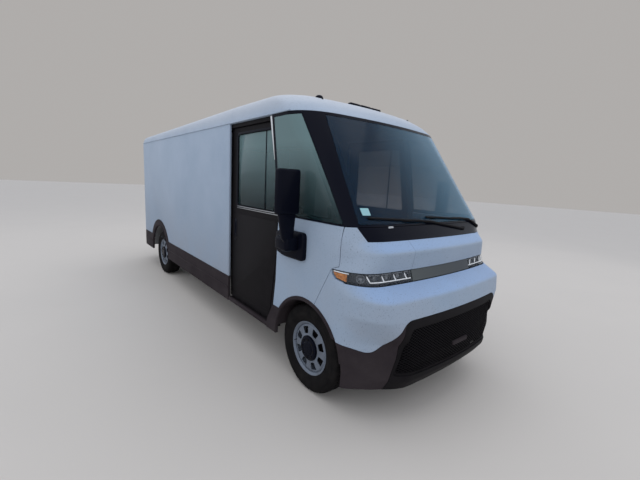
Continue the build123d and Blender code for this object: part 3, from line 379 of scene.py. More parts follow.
def softened(bm, width, segments=2, angle=26.0):
    """Bevels the edges that turn by more than an angle."""
    if width:
        edges = [e for e in bm.edges if len(e.link_faces) == 2 and e.calc_face_angle(0.0) > radians(angle)]
        bevelled(bm, edges, width, segments)
    return bm


def brick(low, high, bevel=0.0, segments=2):
    """A box between two corners with softened edges."""
    bm = bmesh.new()
    bmesh.ops.create_cube(bm, size=1.0)
    size = Vector(high) - Vector(low)
    middle = (Vector(high) + Vector(low)) / 2
    for vert in bm.verts:
        vert.co = Vector((vert.co.x * size.x, vert.co.y * size.y, vert.co.z * size.z)) + middle
    return softened(bm, bevel, segments)


def rod(start, end, radius, sides=16):
    """A closed round bar between two points."""
    bm = bmesh.new()
    axis = Vector(end) - Vector(start)
    turn = axis.to_track_quat("Z", "Y").to_matrix().to_4x4()
    place = Matrix.Translation((Vector(start) + Vector(end)) / 2) @ turn
    bmesh.ops.create_cone(
        bm, cap_ends=True, segments=sides, radius1=radius, radius2=radius, depth=axis.length, matrix=place,
    )
    return bm


def tube(points, radius, sides=8, closed=False):
    """A round bar along a run of points."""
    bm = bmesh.new()
    rings = []
    count = len(points)
    side = None
    for i, point in enumerate(points):
        before = points[i - 1] if i or closed else point
        after = points[(i + 1) % count] if i < count - 1 or closed else point
        along = (Vector(after) - Vector(before)).normalized()
        if side is None:
            side = along.orthogonal().normalized()
        side = (side - along * side.dot(along)).normalized()
        across = along.cross(side)
        rings.append([
            bm.verts.new(Vector(point) + (side * cos(2 * pi * k / sides) + across * sin(2 * pi * k / sides)) * radius)
            for k in range(sides)
        ])
    pairs = list(zip(rings, rings[1:])) + ([(rings[-1], rings[0])] if closed else [])
    for ring, next_ring in pairs:
        for k in range(sides):
            bm.faces.new((ring[k - 1], ring[k], next_ring[k], next_ring[k - 1]))
    if not closed:
        bm.faces.new(list(reversed(rings[0])))
        bm.faces.new(rings[-1])
    bmesh.ops.recalc_face_normals(bm, faces=bm.faces)
    return bm


def on_wheel(centre, side, out, radius, angle):
    """Point of a wheel at an outboard distance, a radius and an angle."""
    return (centre[0] + side * out, centre[1] + radius * cos(angle), centre[2] + radius * sin(angle))


def turned(profile, centre, side, segments=96):
    """A solid turned round a wheel's axle from a closed (outboard distance, radius) profile."""
    bm = bmesh.new()
    rings = []
    for k in range(segments):
        angle = 2 * pi * k / segments
        rings.append([bm.verts.new(on_wheel(centre, side, out, radius, angle)) for out, radius in profile])
    count = len(profile)
    for k in range(segments):
        here, there = rings[k - 1], rings[k]
        for i in range(count):
            bm.faces.new((here[i - 1], here[i], there[i], there[i - 1]))
    bmesh.ops.remove_doubles(bm, verts=bm.verts, dist=1e-6)
    bmesh.ops.recalc_face_normals(bm, faces=bm.faces)
    return bm


def cad_copy(node, bevel=0.0025, segments=2):
    """A clean copy of a CAD node's mesh with softened edges."""
    bm = bmesh.new()
    bm.from_mesh(frame["nodes"][node].data)
    bmesh.ops.remove_doubles(bm, verts=bm.verts, dist=1e-5)
    bmesh.ops.dissolve_limit(bm, angle_limit=radians(1.0), verts=bm.verts, edges=bm.edges)
    return softened(bm, bevel, segments)


# ------------------------------------------------------------------ finishes
class Flow:
    """A number or colour on its way through the shader nodes, with plain arithmetic."""

    def __init__(self, tree, socket):
        self.tree, self.socket = tree, socket

    def maths(self, operation, *others):
        """One Math node fed with this value and others."""
        node = self.tree.nodes.new("ShaderNodeMath")
        node.operation = operation
        for place, value in enumerate([self, *others]):
            feed(self.tree, node.inputs[place], value)
        return Flow(self.tree, node.outputs[0])

    def __add__(self, other):
        return self.maths("ADD", other)

    def __radd__(self, other):
        return self.maths("ADD", other)

    def __sub__(self, other):
        return self.maths("SUBTRACT", other)

    def __rsub__(self, other):
        return (-self).maths("ADD", other)

    def __neg__(self):
        return self.maths("MULTIPLY", -1.0)

    def __mul__(self, other):
        return self.maths("MULTIPLY", other)

    def clipped(self, low, high):
        """The value held between two limits."""
        return self.maths("MAXIMUM", low).maths("MINIMUM", high)

    def ramp(self, start, end):
        """0 below start, 1 above end."""
        return ((self - start) * (1.0 / (end - start))).clipped(0.0, 1.0)


def feed(tree, socket, value):
    """Links a flow to a socket, or sets a plain value on it."""
    if isinstance(value, Flow):
        tree.links.new(value.socket, socket)
    else:
        socket.default_value = value


class Shader:
    """One material under construction."""

    def __init__(self, name):
        self.material = bpy.data.materials.new(name)
        self.material.use_nodes = True
        self.tree = self.material.node_tree
        self.surface = self.tree.nodes["Principled BSDF"]

    def node(self, kind, output=0, **values):
        """Any shader node, with input values or links by name."""
        node = self.tree.nodes.new(kind)
        for key, value in values.items():
            feed(self.tree, node.inputs[key.replace("_", " ")], value)
        return Flow(self.tree, node.outputs[output])

    def place(self):
        """Object coordinates."""
        return self.node("ShaderNodeTexCoord", output="Object")

    def noise(self, scale, detail=3.0, rough=0.5):
        """Cloudy noise, 0 to 1, at a scale per metre."""
        return self.node("ShaderNodeTexNoise", Vector=self.place(), Scale=scale, Detail=detail, Roughness=rough)

    def axes(self, vector=None):
        """The X, Y and Z of the place, or of another vector, as separate values."""
        node = self.tree.nodes.new("ShaderNodeSeparateXYZ")
        feed(self.tree, node.inputs[0], vector or self.place())
        return [Flow(self.tree, node.outputs[i]) for i in range(3)]

    def blend(self, share, first, second):
        """A colour between two colours."""
        node = self.tree.nodes.new("ShaderNodeMix")
        node.data_type = "RGBA"
        feed(self.tree, node.inputs[0], share)
        feed(self.tree, node.inputs[6], first)
        feed(self.tree, node.inputs[7], second)
        return Flow(self.tree, node.outputs[2])

    def bump(self, height, strength, distance):
        """Small relief on the surface from a height."""
        node = self.tree.nodes.new("ShaderNodeBump")
        node.inputs["Strength"].default_value = strength
        node.inputs["Distance"].default_value = distance
        feed(self.tree, node.inputs["Height"], height)
        self.tree.links.new(node.outputs["Normal"], self.surface.inputs["Normal"])

    def set(self, **values):
        """Values or links on the Principled surface."""
        for key, value in values.items():
            feed(self.tree, self.surface.inputs[key.replace("_", " ")], value)


def mottled(first, second, noise, rough, span=None, relief=None, **values):
    """A finish of two colours mixed by one cloud, which also varies the roughness."""

    def lay(s):
        cloud = s.noise(*noise)
        share = cloud.ramp(*span) if span else cloud
        colour = s.blend(share, (*first, 1.0), (*second, 1.0)) if second else (*first, 1.0)
        s.set(Base_Color=colour, Roughness=rough[0] + cloud * rough[1], **values)
        if relief:
            s.bump(s.noise(*relief[0]), *relief[1:])

    return lay


def paint_finish(s):
    """Pale blue-grey paint: road-dust specks, a cloudy film, darker and rougher in cloudy patches low down, painted
    sky light that makes faces looking up bluer, and a painted highlight that makes the roof lighter.
    """
    z = s.axes()[2]
    specks = s.noise(120.0, 1.0).ramp(0.650, 0.690)
    clouds = s.noise(1.5, 4.0, 0.6)
    # Darker, duller and rougher in cloudy patches towards the bottom of the body.
    low = (1.0 - z.ramp(0.55, 1.45)) * clouds.ramp(0.38, 0.72)
    clean = s.blend(clouds.ramp(0.3, 0.7), (0.285, 0.364, 0.470, 1.0), (0.340, 0.415, 0.520, 1.0))
    # Painted sky light: faces that look up, below the cab roof, are blended towards a brighter blue; clean carries
    # this from here on.
    sky_lit_tops = s.axes(s.node("ShaderNodeNewGeometry", output="Normal"))[2].ramp(0.25, 0.8) * (1.0 - z.ramp(1.6, 1.9))
    clean = s.blend(sky_lit_tops * 0.85, clean, (0.255, 0.375, 0.590, 1.0))
    # Painted highlight: the roof is blended lighter with height.
    clean = s.blend(z.ramp(2.50, 2.72) * 0.7, clean, (0.560, 0.570, 0.600, 1.0))
    darkened_low = s.blend(low * 0.42, clean, (0.245, 0.235, 0.250, 1.0))
    s.set(
        Base_Color=s.blend(specks * 0.45, darkened_low, (0.110, 0.115, 0.135, 1.0)),
        Roughness=0.44 + low * 0.2 + clouds * 0.1, Specular_IOR_Level=0.17, Coat_Weight=0.05, Coat_Roughness=0.25,
    )
    s.bump(s.noise(240.0, 2.0), 0.05, 0.0006)


def screen_finish(s):
    """Tinted windshield glass: navy on the right of the van, running to a painted teal reflection on its left, with a
    painted lighter blue reflection at grazing angles.
    """
    smear = s.noise(2.4, 4.0)
    x, _, z = s.axes()
    # Painted reflection: towards the van's left the colour runs to teal and the glass grows more opaque.
    side = x.ramp(-0.35, 0.85)
    # Painted reflection: grazing angles are blended towards a lighter blue and made more opaque.
    rim = s.node("ShaderNodeLayerWeight", output="Facing", Blend=0.5).ramp(0.72, 0.97)
    tint_and_reflection = s.blend(side, (0.006, 0.022, 0.046, 1.0), (0.036, 0.155, 0.250, 1.0))
    s.set(
        Base_Color=s.blend(rim, tint_and_reflection, (0.100, 0.300, 0.500, 1.0)), Roughness=0.05 + smear * 0.04,
        Alpha=0.50 + side * 0.14 + z.ramp(2.05, 2.5) * 0.2 + rim * 0.2, Specular_IOR_Level=0.15, IOR=1.5,
    )


def side_glass_finish(s):
    """Side glass, dark teal low down, with a painted pale teal reflection towards the top."""
    smear = s.noise(3.0, 3.0)
    z = s.axes()[2]
    # Painted reflection: the glass is blended towards pale teal and made more opaque towards the top.
    s.set(
        Base_Color=s.blend(z.ramp(1.62, 2.25), (0.020, 0.042, 0.048, 1.0), (0.170, 0.265, 0.275, 1.0)),
        Roughness=0.05 + smear * 0.04, Alpha=0.36 + z.ramp(1.62, 2.25) * 0.30,
        Specular_IOR_Level=0.2, IOR=1.5,
    )


def glow_finish(s):
    """White light guide, faintly lit."""
    milk = s.noise(40.0, 2.0)
    s.set(
        Base_Color=s.blend(milk, (0.80, 0.83, 0.86, 1.0), (0.90, 0.92, 0.94, 1.0)), Roughness=0.3,
        Emission_Color=(0.93, 0.96, 1.0, 1.0), Emission_Strength=0.16,
    )


def amber_finish(s):
    """Amber turn lamp, with a painted glint in bright spots."""
    ribs = (s.axes()[2] * 700.0).maths("SINE")
    # Painted glint: noise spots blend the amber towards a brighter orange.
    painted_glints = s.noise(90.0, 1.0).ramp(0.35, 0.7)
    s.set(
        Base_Color=s.blend(painted_glints, (0.36, 0.105, 0.006, 1.0), (0.80, 0.27, 0.012, 1.0)), Roughness=0.24,
        Coat_Weight=0.3, Coat_Roughness=0.05,
    )
    s.bump(ribs, 0.2, 0.001)


def bar_finish(s):
    """Frosted bar between the lamps, with a painted highlight that makes it warmer and lighter on the right of the
    van.
    """
    x = s.axes()[0]
    haze = s.noise(12.0, 1.0)
    # Painted highlight: the colour is warmer and lighter towards the right of the van (-X).
    s.set(
        Base_Color=s.blend(x.ramp(-0.5, 0.35), (0.078, 0.088, 0.088, 1.0), (0.022, 0.030, 0.038, 1.0)),
        Roughness=0.30 + haze * 0.06, Metallic=0.1, Specular_IOR_Level=0.2, Coat_Weight=0.05, Coat_Roughness=0.08,
    )


def tail_finish(s):
    """Ribbed red lamp lens."""
    ribs = s.axes()[2].maths("MULTIPLY", 620.0).maths("SINE")
    s.set(Base_Color=(0.38, 0.012, 0.014, 1.0), Roughness=0.16, Coat_Weight=0.6)
    s.bump(ribs, 0.3, 0.001)


def floor_finish(s):
    """Grey speckled floor covering."""
    fleck = s.noise(330.0, 2.0).ramp(0.6, 0.66)
    s.set(Base_Color=s.blend(fleck, (0.11, 0.112, 0.116, 1.0), (0.24, 0.245, 0.25, 1.0)), Roughness=0.7 + fleck * 0.1)
    s.bump(s.noise(420.0, 2.0), 0.25, 0.001)


def cabin_finish(s):
    """Dark grained cabin plastic."""
    grain = s.noise(480.0, 3.0, 0.7)
    s.set(
        Base_Color=s.blend(s.noise(5.0), (0.016, 0.017, 0.020, 1.0), (0.024, 0.025, 0.028, 1.0)),
        Roughness=0.65 + grain * 0.12, Specular_IOR_Level=0.08,
    )
    s.bump(grain, 0.25, 0.001)


def fabric_finish(s):
    """Woven charcoal seat cloth."""
    x, y, z = s.axes()
    weave = x.maths("MULTIPLY", 1400.0).maths("SINE") * (y + z).maths("MULTIPLY", 1400.0).maths("SINE")
    mottle = s.noise(60.0, 3.0)
    s.set(
        Base_Color=s.blend(mottle, (0.030, 0.031, 0.035, 1.0), (0.060, 0.061, 0.067, 1.0)),
        Roughness=0.86, Sheen_Weight=0.3,
    )
    s.bump(weave, 0.35, 0.0012)


def aluminium_finish(s):
    """Mill-finish aluminium with fine brushing."""
    x, y, z = s.axes()
    drawn_out = s.node("ShaderNodeCombineXYZ", X=x * 2.0, Y=y * 2.0, Z=z * 260.0)
    brush = s.node("ShaderNodeTexNoise", Vector=drawn_out, Scale=3.0, Detail=3.0)
    s.set(
        Base_Color=s.blend(brush, (0.55, 0.56, 0.57, 1.0), (0.66, 0.665, 0.67, 1.0)),
        Roughness=0.28 + brush * 0.18, Metallic=0.85,
    )
    s.bump(brush, 0.12, 0.0006)


def tread_finish(s):
    """Ribbed rubber step cover."""
    ribs = s.axes()[1].maths("MULTIPLY", 620.0).maths("SINE")
    s.set(Base_Color=(0.020, 0.019, 0.019, 1.0), Roughness=0.65 + s.noise(90.0) * 0.15, Specular_IOR_Level=0.2)
    s.bump(ribs, 0.5, 0.003)


# finish name: (slot of the part, what lays the finish on a shader)
FINISHES = {
    "white_paint": ("white_paint", paint_finish),
    "screen_glass": ("glass", screen_finish),
    "side_glass": ("glass", side_glass_finish),
    "lamp_glow": ("lamp_lens", glow_finish),
    "amber": ("lamp_lens", amber_finish),
    "light_bar": ("lamp_bar", bar_finish),
    "tail_red": ("tail_red", tail_finish),
    "floor_grey": ("floor_grey", floor_finish),
    "cabin_plastic": ("cabin_plastic", cabin_finish),
    "seat_fabric": ("seat_fabric", fabric_finish),
    "door_aluminium": ("door_aluminium", aluminium_finish),
    "step_rubber": ("dark_plastic", tread_finish),
    "dark_plastic": ("dark_plastic", mottled(
        (0.025, 0.0195, 0.0230), (0.040, 0.033, 0.036), (3.2, 5.0, 0.65), (0.62, 0.16), (0.35, 0.7),
        ((520.0, 3.0, 0.7), 0.22, 0.0012), Specular_IOR_Level=0.06,
    )),
    "black_gloss": ("black_gloss", mottled(
        (0.004, 0.0048, 0.010), None, (6.0, 4.0), (0.16, 0.10), Specular_IOR_Level=0.05,
    )),
    "black_metal": ("black_metal", mottled(
        (0.0075, 0.0068, 0.0078), (0.012, 0.0105, 0.012), (9.0, 4.0), (0.48, 0.18), (0.3, 0.7),
        ((380.0, 2.0), 0.12, 0.0006), Specular_IOR_Level=0.06,
    )),
    # Near-black finish for sheets that stand in for the shade behind the grille and the light bar.
    "shade_black": ("dark_plastic", mottled(
        (0.003, 0.003, 0.004), None, (20.0,), (0.9, -0.1), Specular_IOR_Level=0.03,
    )),
    "axle_steel": ("axle_steel", mottled(
        (0.10, 0.10, 0.105), (0.17, 0.145, 0.125), (14.0, 5.0, 0.6), (0.45, 0.25), (0.35, 0.75),
        ((160.0, 3.0), 0.2, 0.001), Metallic=0.75,
    )),
    "lens": ("lamp_lens", mottled(
        (0.20, 0.22, 0.25), None, (9.0,), (0.05, 0.02), Alpha=0.10, Specular_IOR_Level=0.3,
        Coat_Weight=0.1, Coat_Roughness=0.03, IOR=1.5,
    )),
    "lamp_chrome": ("lamp_lens", mottled(
        (0.17, 0.185, 0.205), (0.24, 0.255, 0.275), (18.0, 1.0), (0.24, 0.06), Metallic=0.7,
    )),
    "lamp_back": ("lamp_lens", mottled(
        (0.030, 0.035, 0.042), (0.050, 0.057, 0.066), (14.0, 1.0), (0.35, 0.1), Metallic=0.3,
        Specular_IOR_Level=0.3,
    )),
    "wheel_silver": ("wheel_silver", mottled(
        (0.165, 0.195, 0.245), (0.115, 0.125, 0.145), (7.0, 4.0, 0.6), (0.38, 0.18), (0.35, 0.8),
        ((300.0, 2.0), 0.06, 0.0005), Metallic=0.2, Specular_IOR_Level=0.2,
    )),
    "tyre": ("tyre", mottled(
        (0.008, 0.0075, 0.0080), (0.017, 0.0155, 0.0150), (11.0, 5.0, 0.65), (0.72, 0.2), (0.4, 0.8),
        ((700.0, 3.0, 0.7), 0.25, 0.0008), Specular_IOR_Level=0.05,
    )),
    "battery_case": ("battery_case", mottled(
        (0.12, 0.125, 0.13), (0.20, 0.20, 0.20), (5.0, 4.0), (0.5, 0.15), None,
        ((140.0, 2.0), 0.15, 0.001), Metallic=0.4,
    )),
    "liner_grey": ("liner_grey", mottled(
        (0.40, 0.41, 0.42), (0.50, 0.505, 0.51), (4.0, 4.0), (0.55, 0.1), None, ((300.0, 2.0), 0.1, 0.0008),
    )),
    "rubber": ("dark_plastic", mottled(
        (0.008, 0.008, 0.009), None, (80.0,), (0.8, 0.1), Specular_IOR_Level=0.05,
    )),
    "chrome": ("wheel_silver", mottled((0.34, 0.35, 0.36), None, (12.0,), (0.24, 0.10), Metallic=0.9)),
    "mirror_face": ("black_gloss", mottled((0.72, 0.74, 0.76), None, (3.0,), (0.025, 0.02), Metallic=1.0)),
    "sticker": ("white_paint", mottled((0.27, 0.50, 0.54), None, (20.0,), (0.5, 0.1))),
    "sticker_white": ("white_paint", mottled((0.52, 0.54, 0.57), None, (40.0,), (0.45, 0.1))),
}
FINISHED = {}


def finish(name):
    """The material of a finish, made on first use."""
    if name not in FINISHED:
        shader = Shader(name.replace("_", " ") + " finish")
        FINISHES[name][1](shader)
        FINISHED[name] = shader.material
    return FINISHED[name]


# ------------------------------------------------------------------ cab skin
GAP = 0.0030
SKIN_DEPTH = 0.022
BODY = "van_body"
SILL_HIGH = 0.444
DOOR_KINK = 0.671
SILL_END = DOOR_EDGE[-1]
INSIDE_X = -0.1
BEYOND_X = HALF + 0.2


def door_edge_at(z):
    """Y of the door opening's front edge at a height."""
    edge = sorted(DOOR_EDGE, key=lambda point: point[1])
    return float(np.interp(z, [p[1] for p in edge], [p[0] for p in edge]))


def door_edge_line(shift, top, bottom):
    """The door opening's front edge from a top to a bottom height, shifted rearwards."""
    middle = [(y + shift, z) for y, z in DOOR_EDGE if bottom < z < top]
    return [(door_edge_at(top) + shift, top), *middle, (door_edge_at(bottom) + shift, bottom)]


def skin_part(*cuts, source=None):
    """The cab skin cut by (outline, view, keep) cuts, both halves joined."""
    bm = grid_mesh(SKIN if source is None else source)
    for outline, axes, keep in cuts:
        trim(bm, outline, axes, keep)
    return mirrored(bm)


def arch_outline(station_y, radius, count=61):
    """A wheel opening in side view, dropped straight to the ground."""
    points = arc((station_y, TYRE_RADIUS), radius, 180, 0, count)
    return [*points, (station_y + radius, -0.1), (station_y - radius, -0.1)]


def hood_side():
    """Side view of the hood with its fender seams."""
    return inset([(FAR, LAMP_HIGH), LAMP_TIP, SEAM_LOW, SEAM_TOP, (FAR, BELT)], GAP)


def cowl_front(grow):
    """Front view of the black panel at the foot of the windshield."""
    outline = [(INSIDE_X, 1.475), (HALF - 0.168, 1.475), (HALF - 0.103, BELT), (INSIDE_X, BELT)]
    return inset(outline, grow)


HOOD_SEAM = -0.452
NOZZLE = (-0.600, BELT - 0.006)
FACE_ROUND, GRILLE_ROUND = 0.075, 0.05


def make_hood():
    """Hood between the lamps and the cowl."""
    bm = skin_part((hood_side(), SIDE_VIEW, True), (cowl_front(-GAP / 2), FRONT_VIEW, False))
    trim(bm, rectangle(HOOD_SEAM - GAP / 2, 1.1, HOOD_SEAM + GAP / 2, 1.7), FRONT_VIEW, False)
    piece("hood", thickened(bm, SKIN_DEPTH), "white_paint", BODY, ["hood"])


def make_cowl():
    """Black cowl with one washer nozzle."""
    bm = skin_part((hood_side(), SIDE_VIEW, True), (cowl_front(GAP / 2), FRONT_VIEW, True))
    piece("cowl", thickened(bm, SKIN_DEPTH), "black_gloss", BODY, ["cowl"])
    x, z = NOZZLE
    y = skin_depth(x, z)
    nozzle = joined(
        brick((x - 0.020, y - 0.012, z - 0.006), (x + 0.020, y + 0.02, z + 0.007), 0.004),
        brick((x - 0.030, y - 0.005, z - 0.010), (x + 0.030, y + 0.02, z + 0.002), 0.004),
    )
    piece("washer_nozzle", nozzle, "sticker_white", BODY)


def fascia_front(grow):
    """Front view above the dark bumper, with its dip at each corner."""
    outline = [(INSIDE_X, FACE_TOP), *DIP, (BEYOND_X, DIP[-1][1]), (BEYOND_X, BELT), (INSIDE_X, BELT)]
    return inset(rounded(outline, FACE_ROUND, 8), grow)


def centre_front(grow):
    """Front view of the black middle of the bumper, between its two grained corners."""
    outline = [(INSIDE_X, 0.2), (HALF - 0.262, 0.2), (HALF - 0.322, FACE_TOP + 0.02), (INSIDE_X, FACE_TOP + 0.02)]
    return inset(outline, grow)


def make_fascia():
    """White face from the lamp shelf down to the bumper, wrapping to the front wheel arch."""
    side = [(FAR, SILL_LOW), (ARCH_SEAM[0], SILL_LOW), ARCH_SEAM, LAMP_TIP, *LAMP_END, (FAR, LAMP_LOW)]
    bm = skin_part(
        (inset(side, GAP), SIDE_VIEW, True),
        (fascia_front(GAP / 2), FRONT_VIEW, True),
        (arch_outline(at(0), FRONT_LIP), SIDE_VIEW, False),
    )
    piece("front_fascia", thickened(bm, SKIN_DEPTH), "white_paint", BODY, ["front_fascia"])


def grille_front(grow=0.0):
    """Front view of half the grille opening."""
    outline = [(INSIDE_X - 0.1, GRILLE[0][1]), *GRILLE, (INSIDE_X - 0.1, GRILLE[-1][1])]
    return inset(rounded(outline, GRILLE_ROUND), grow)


# Spread and set-back of the near-black sheet that stands in for the shade behind the grille.
SHADE_SHEET_SPREAD, SHADE_SHEET_BACK = 0.15, 0.068


def below_face():
    """Side view of everything ahead of the axle and below the white face."""
    return rectangle(FAR, 0.0, at(0), FACE_TOP)


def make_bumper():
    """Dark lower bumper round the grille opening, and a near-black sheet behind the mesh standing in for the shade
    inside the opening.
    """
    below = below_face()
    corner = skin_part(
        (below, SIDE_VIEW, True),
        (fascia_front(-GAP / 2), FRONT_VIEW, False),
        (arch_outline(at(0), FRONT_LIP), SIDE_VIEW, False),
        (centre_front(-GAP / 2), FRONT_VIEW, False),
    )
    piece("bumper_corners", thickened(corner, SKIN_DEPTH, 0.003), "dark_plastic", BODY, ["bumper_lower"])
    middle = skin_part(
        (below, SIDE_VIEW, True),
        (fascia_front(-GAP / 2), FRONT_VIEW, False),
        (centre_front(GAP / 2), FRONT_VIEW, True),
        (grille_front(), FRONT_VIEW, False),
    )
    piece("bumper_middle", thickened(middle, SKIN_DEPTH, 0.003), "black_metal", BODY)
    # Painted shade: a near-black sheet behind the mesh stands in for the dark inside of the opening.
    around = (grille_front(-SHADE_SHEET_SPREAD), FRONT_VIEW, True)
    shade_sheet = skin_part((below, SIDE_VIEW, True), around, source=offset_skin(SHADE_SHEET_BACK))
    piece("grille_shroud", thickened(shade_sheet, 0.004, 0), "shade_black", BODY)


def make_cab_sides():
    """White side panels between the nose seam and the door opening."""
    side = [
        SEAM_TOP, *door_edge_line(0.0, BELT, DOOR_KINK), (at(0), DOOR_KINK), (at(0), TYRE_RADIUS),
        ARCH_SEAM, LAMP_TIP, SEAM_LOW,
    ]
    bm = skin_part(
        (inset(side, GAP / 2), SIDE_VIEW, True),
        (arch_outline(at(0), FRONT_LIP), SIDE_VIEW, False),
    )
    piece("cab_sides", thickened(bm, SKIN_DEPTH), "white_paint", BODY, ["cab_sides"])


# ------------------------------------------------------------------ glazing
SCREEN = ((HALF - 0.125, BELT + 0.017), (HALF - 0.222, GUTTER - 0.030))
PILLAR_LOW, PILLAR_HIGH = (at(-0.411), BELT), (at(0.257), GUTTER - 0.012)
QUARTER_LOW, QUARTER_HIGH, QUARTER_STRIP = BELT + 0.014, GUTTER - 0.032, 0.040
GLASS_THICK, BORDER, SIDE_BORDER, BORDER_OVERLAP, BORDER_BACK = 0.006, 0.045, 0.032, 0.01, 0.008
LABEL = (-0.846, 1.668, -0.768, 1.722)


def screen_front(grow):
    """Front view of half the windshield."""
    return inset([(INSIDE_X, SCREEN[0][1]), *SCREEN, (INSIDE_X, SCREEN[1][1])], grow)


def quarter_side(grow):
    """Side view of the quarter glass."""
    slope = (PILLAR_HIGH[0] - PILLAR_LOW[0]) / (PILLAR_HIGH[1] - PILLAR_LOW[1])
    low = PILLAR_LOW[0] + slope * (QUARTER_LOW - BELT)
    high = PILLAR_LOW[0] + slope * (QUARTER_HIGH - BELT)
    outline = [
        (low, QUARTER_LOW), (door_edge_at(QUARTER_LOW) - QUARTER_STRIP, QUARTER_LOW),
        (door_edge_at(QUARTER_HIGH) - QUARTER_STRIP, QUARTER_HIGH), (high, QUARTER_HIGH),
    ]
    return inset(outline, grow)


def make_glazing():
    """Black pillars and header, windshield with a printed border and a blank label, and quarter glass."""
    outline = [(FAR, BELT), *reversed(door_edge_line(0.0, GUTTER, BELT)), (FAR, GUTTER)]
    upper = (inset(outline, GAP / 2), SIDE_VIEW, True)
    bm = skin_part(upper, (screen_front(-GAP / 2), FRONT_VIEW, False), (quarter_side(-GAP / 2), SIDE_VIEW, False))
    piece("windshield_frame", thickened(bm, SKIN_DEPTH), "black_gloss", BODY, ["windshield_frame"])
    bm = skin_part(upper, (screen_front(GAP / 2), FRONT_VIEW, True))
    piece("windshield", thickened(bm, GLASS_THICK), "screen_glass", BODY, ["windshield"])
    bm = skin_part(upper, (quarter_side(GAP / 2), SIDE_VIEW, True))
    piece("quarter_glasses", thickened(bm, GLASS_THICK), "side_glass", BODY, ["quarter_glasses"])
    under = offset_skin(BORDER_BACK)
    border = skin_part(
        upper, (screen_front(-BORDER_OVERLAP), FRONT_VIEW, True), (screen_front(BORDER), FRONT_VIEW, False),
        source=under,
    )
    side_border = skin_part(
        upper, (quarter_side(-BORDER_OVERLAP), SIDE_VIEW, True), (quarter_side(SIDE_BORDER), SIDE_VIEW, False),
        source=under,
    )
    piece("glass_borders", joined(thickened(border, 0.002, 0), thickened(side_border, 0.002, 0)), "black_gloss", BODY)
    label = mirrored(grid_mesh(offset_skin(-0.0006)))
    trim(label, rounded(rectangle(*LABEL), 0.006, 4), FRONT_VIEW, True)
    trim(label, rectangle(FAR, 1.5, at(0.1), 1.9), SIDE_VIEW, True)
    piece("screen_label", thickened(label, 0.0005, 0), "sticker", BODY)


def offset_skin(depth):
    """The cab skin moved inwards."""
    along = np.gradient(SKIN, axis=1)
    up = np.gradient(SKIN, axis=0)
    normal = np.cross(along, up)
    normal /= np.linalg.norm(normal, axis=2, keepdims=True)
    moved = SKIN - normal * depth
    moved[:, 0, 0] = 0.0
    return moved


# ------------------------------------------------------------------ lamps and light bar
def lamp_side(grow):
    """Side view of the lamp band with its pointed tip."""
    return inset([(FAR, LAMP_LOW), *reversed(LAMP_END), LAMP_TIP, (FAR, LAMP_HIGH)], grow)


def bar_front(grow):
    """Front view of half the light bar."""
    return inset(rectangle(INSIDE_X, LAMP_LOW, BAR_END, LAMP_HIGH), grow)


def beyond_bar(start):
    """Front view of everything outboard of a place."""
    return rectangle(start, LAMP_LOW - 0.2, BEYOND_X, LAMP_HIGH + 0.2)


def prism(points, shift):
    """A closed flat outline in space pushed along to make a solid."""
    bm = bmesh.new()
    face = bm.faces.new([bm.verts.new(point) for point in points])
    made = bmesh.ops.extrude_face_region(bm, geom=[face])["geom"]
    for vert in [item for item in made if isinstance(item, bmesh.types.BMVert)]:
        vert.co += Vector(shift)
    bmesh.ops.recalc_face_normals(bm, faces=bm.faces)
    return bm


def plank(line, low, high, thick):
    """A thin upright wall over a line in plan."""
    start, end = Vector(line[0]), Vector(line[1])
    across = Vector((start.y - end.y, end.x - start.x)).normalized() * thick / 2
    plan = [start + across, end + across, end - across, start - across]
    return prism([(p.x, p.y, low) for p in plan], (0, 0, high - low))


def skin_point(depth, z, x=None, y=None):
    """Point on the skin at a height, by its X on the front or its Y on the side, moved inwards."""
    row = int(np.argmin(abs(SKIN[:, 0, 2] - z)))
    line, inner = SKIN[row], offset_skin(depth)[row]
    known, value = (line[:, 0], x) if x is not None else (line[:, 1], y)
    return Vector((np.interp(value, known, inner[:, 0]), np.interp(value, known, inner[:, 1]), z))


def both(points, side):
    """A run of points on its side of the van."""
    return [(side * p.x, p.y, p.z) for p in points]


GUIDE_FIRST, GUIDE_PITCH, GUIDE_LOW, GUIDE_RISE, GUIDE_LEAN = 0.518, 0.125, LAMP_LOW + 0.024, 0.046, 0.018
# how far the parts of a lamp lie behind the skin
GUIDE_BACK, LID_BACK, BOWL_BACK, BAR_BACK, SHELF_FRONT, SHELF_BACK = 0.012, 0.026, 0.055, 0.034, 0.003, 0.058
OUTER_EYE = at(-0.560)
AMBER_FRONT, AMBER_TOP, AMBER_BACK = at(-0.458), 1.217, 0.010
OUTER_BOWL = (
    (0.0, 0.004), (0.012, 0.006), (0.026, 0.020), (0.030, 0.034), (0.034, 0.034), (0.034, -0.002), (0.0, -0.002),
)


def lamp_guides():
    """Joined white L-shaped light guides and the white brow over each amber lens."""
    parts = []
    for k in range(4):
        corner = GUIDE_FIRST + k * GUIDE_PITCH
        start = corner - (GUIDE_PITCH if k else 0.046)
        run = [skin_point(GUIDE_BACK, x=x, z=GUIDE_LOW) for x in np.linspace(start, corner, 8)]
        for t in (0.35, 0.7, 1.0):
            run.append(skin_point(GUIDE_BACK, x=corner + GUIDE_LEAN * t, z=GUIDE_LOW + GUIDE_RISE * t))
        parts += [tube(both(run, side), 0.0048, 8) for side in (1, -1)]
    brow = [skin_point(0.008, y=at(-0.340 - 0.017 * t), z=LAMP_HIGH - 0.015) for t in range(9)]
    parts += [tube(both(brow, side), 0.0045, 8) for side in (1, -1)]
    return joined(*parts)


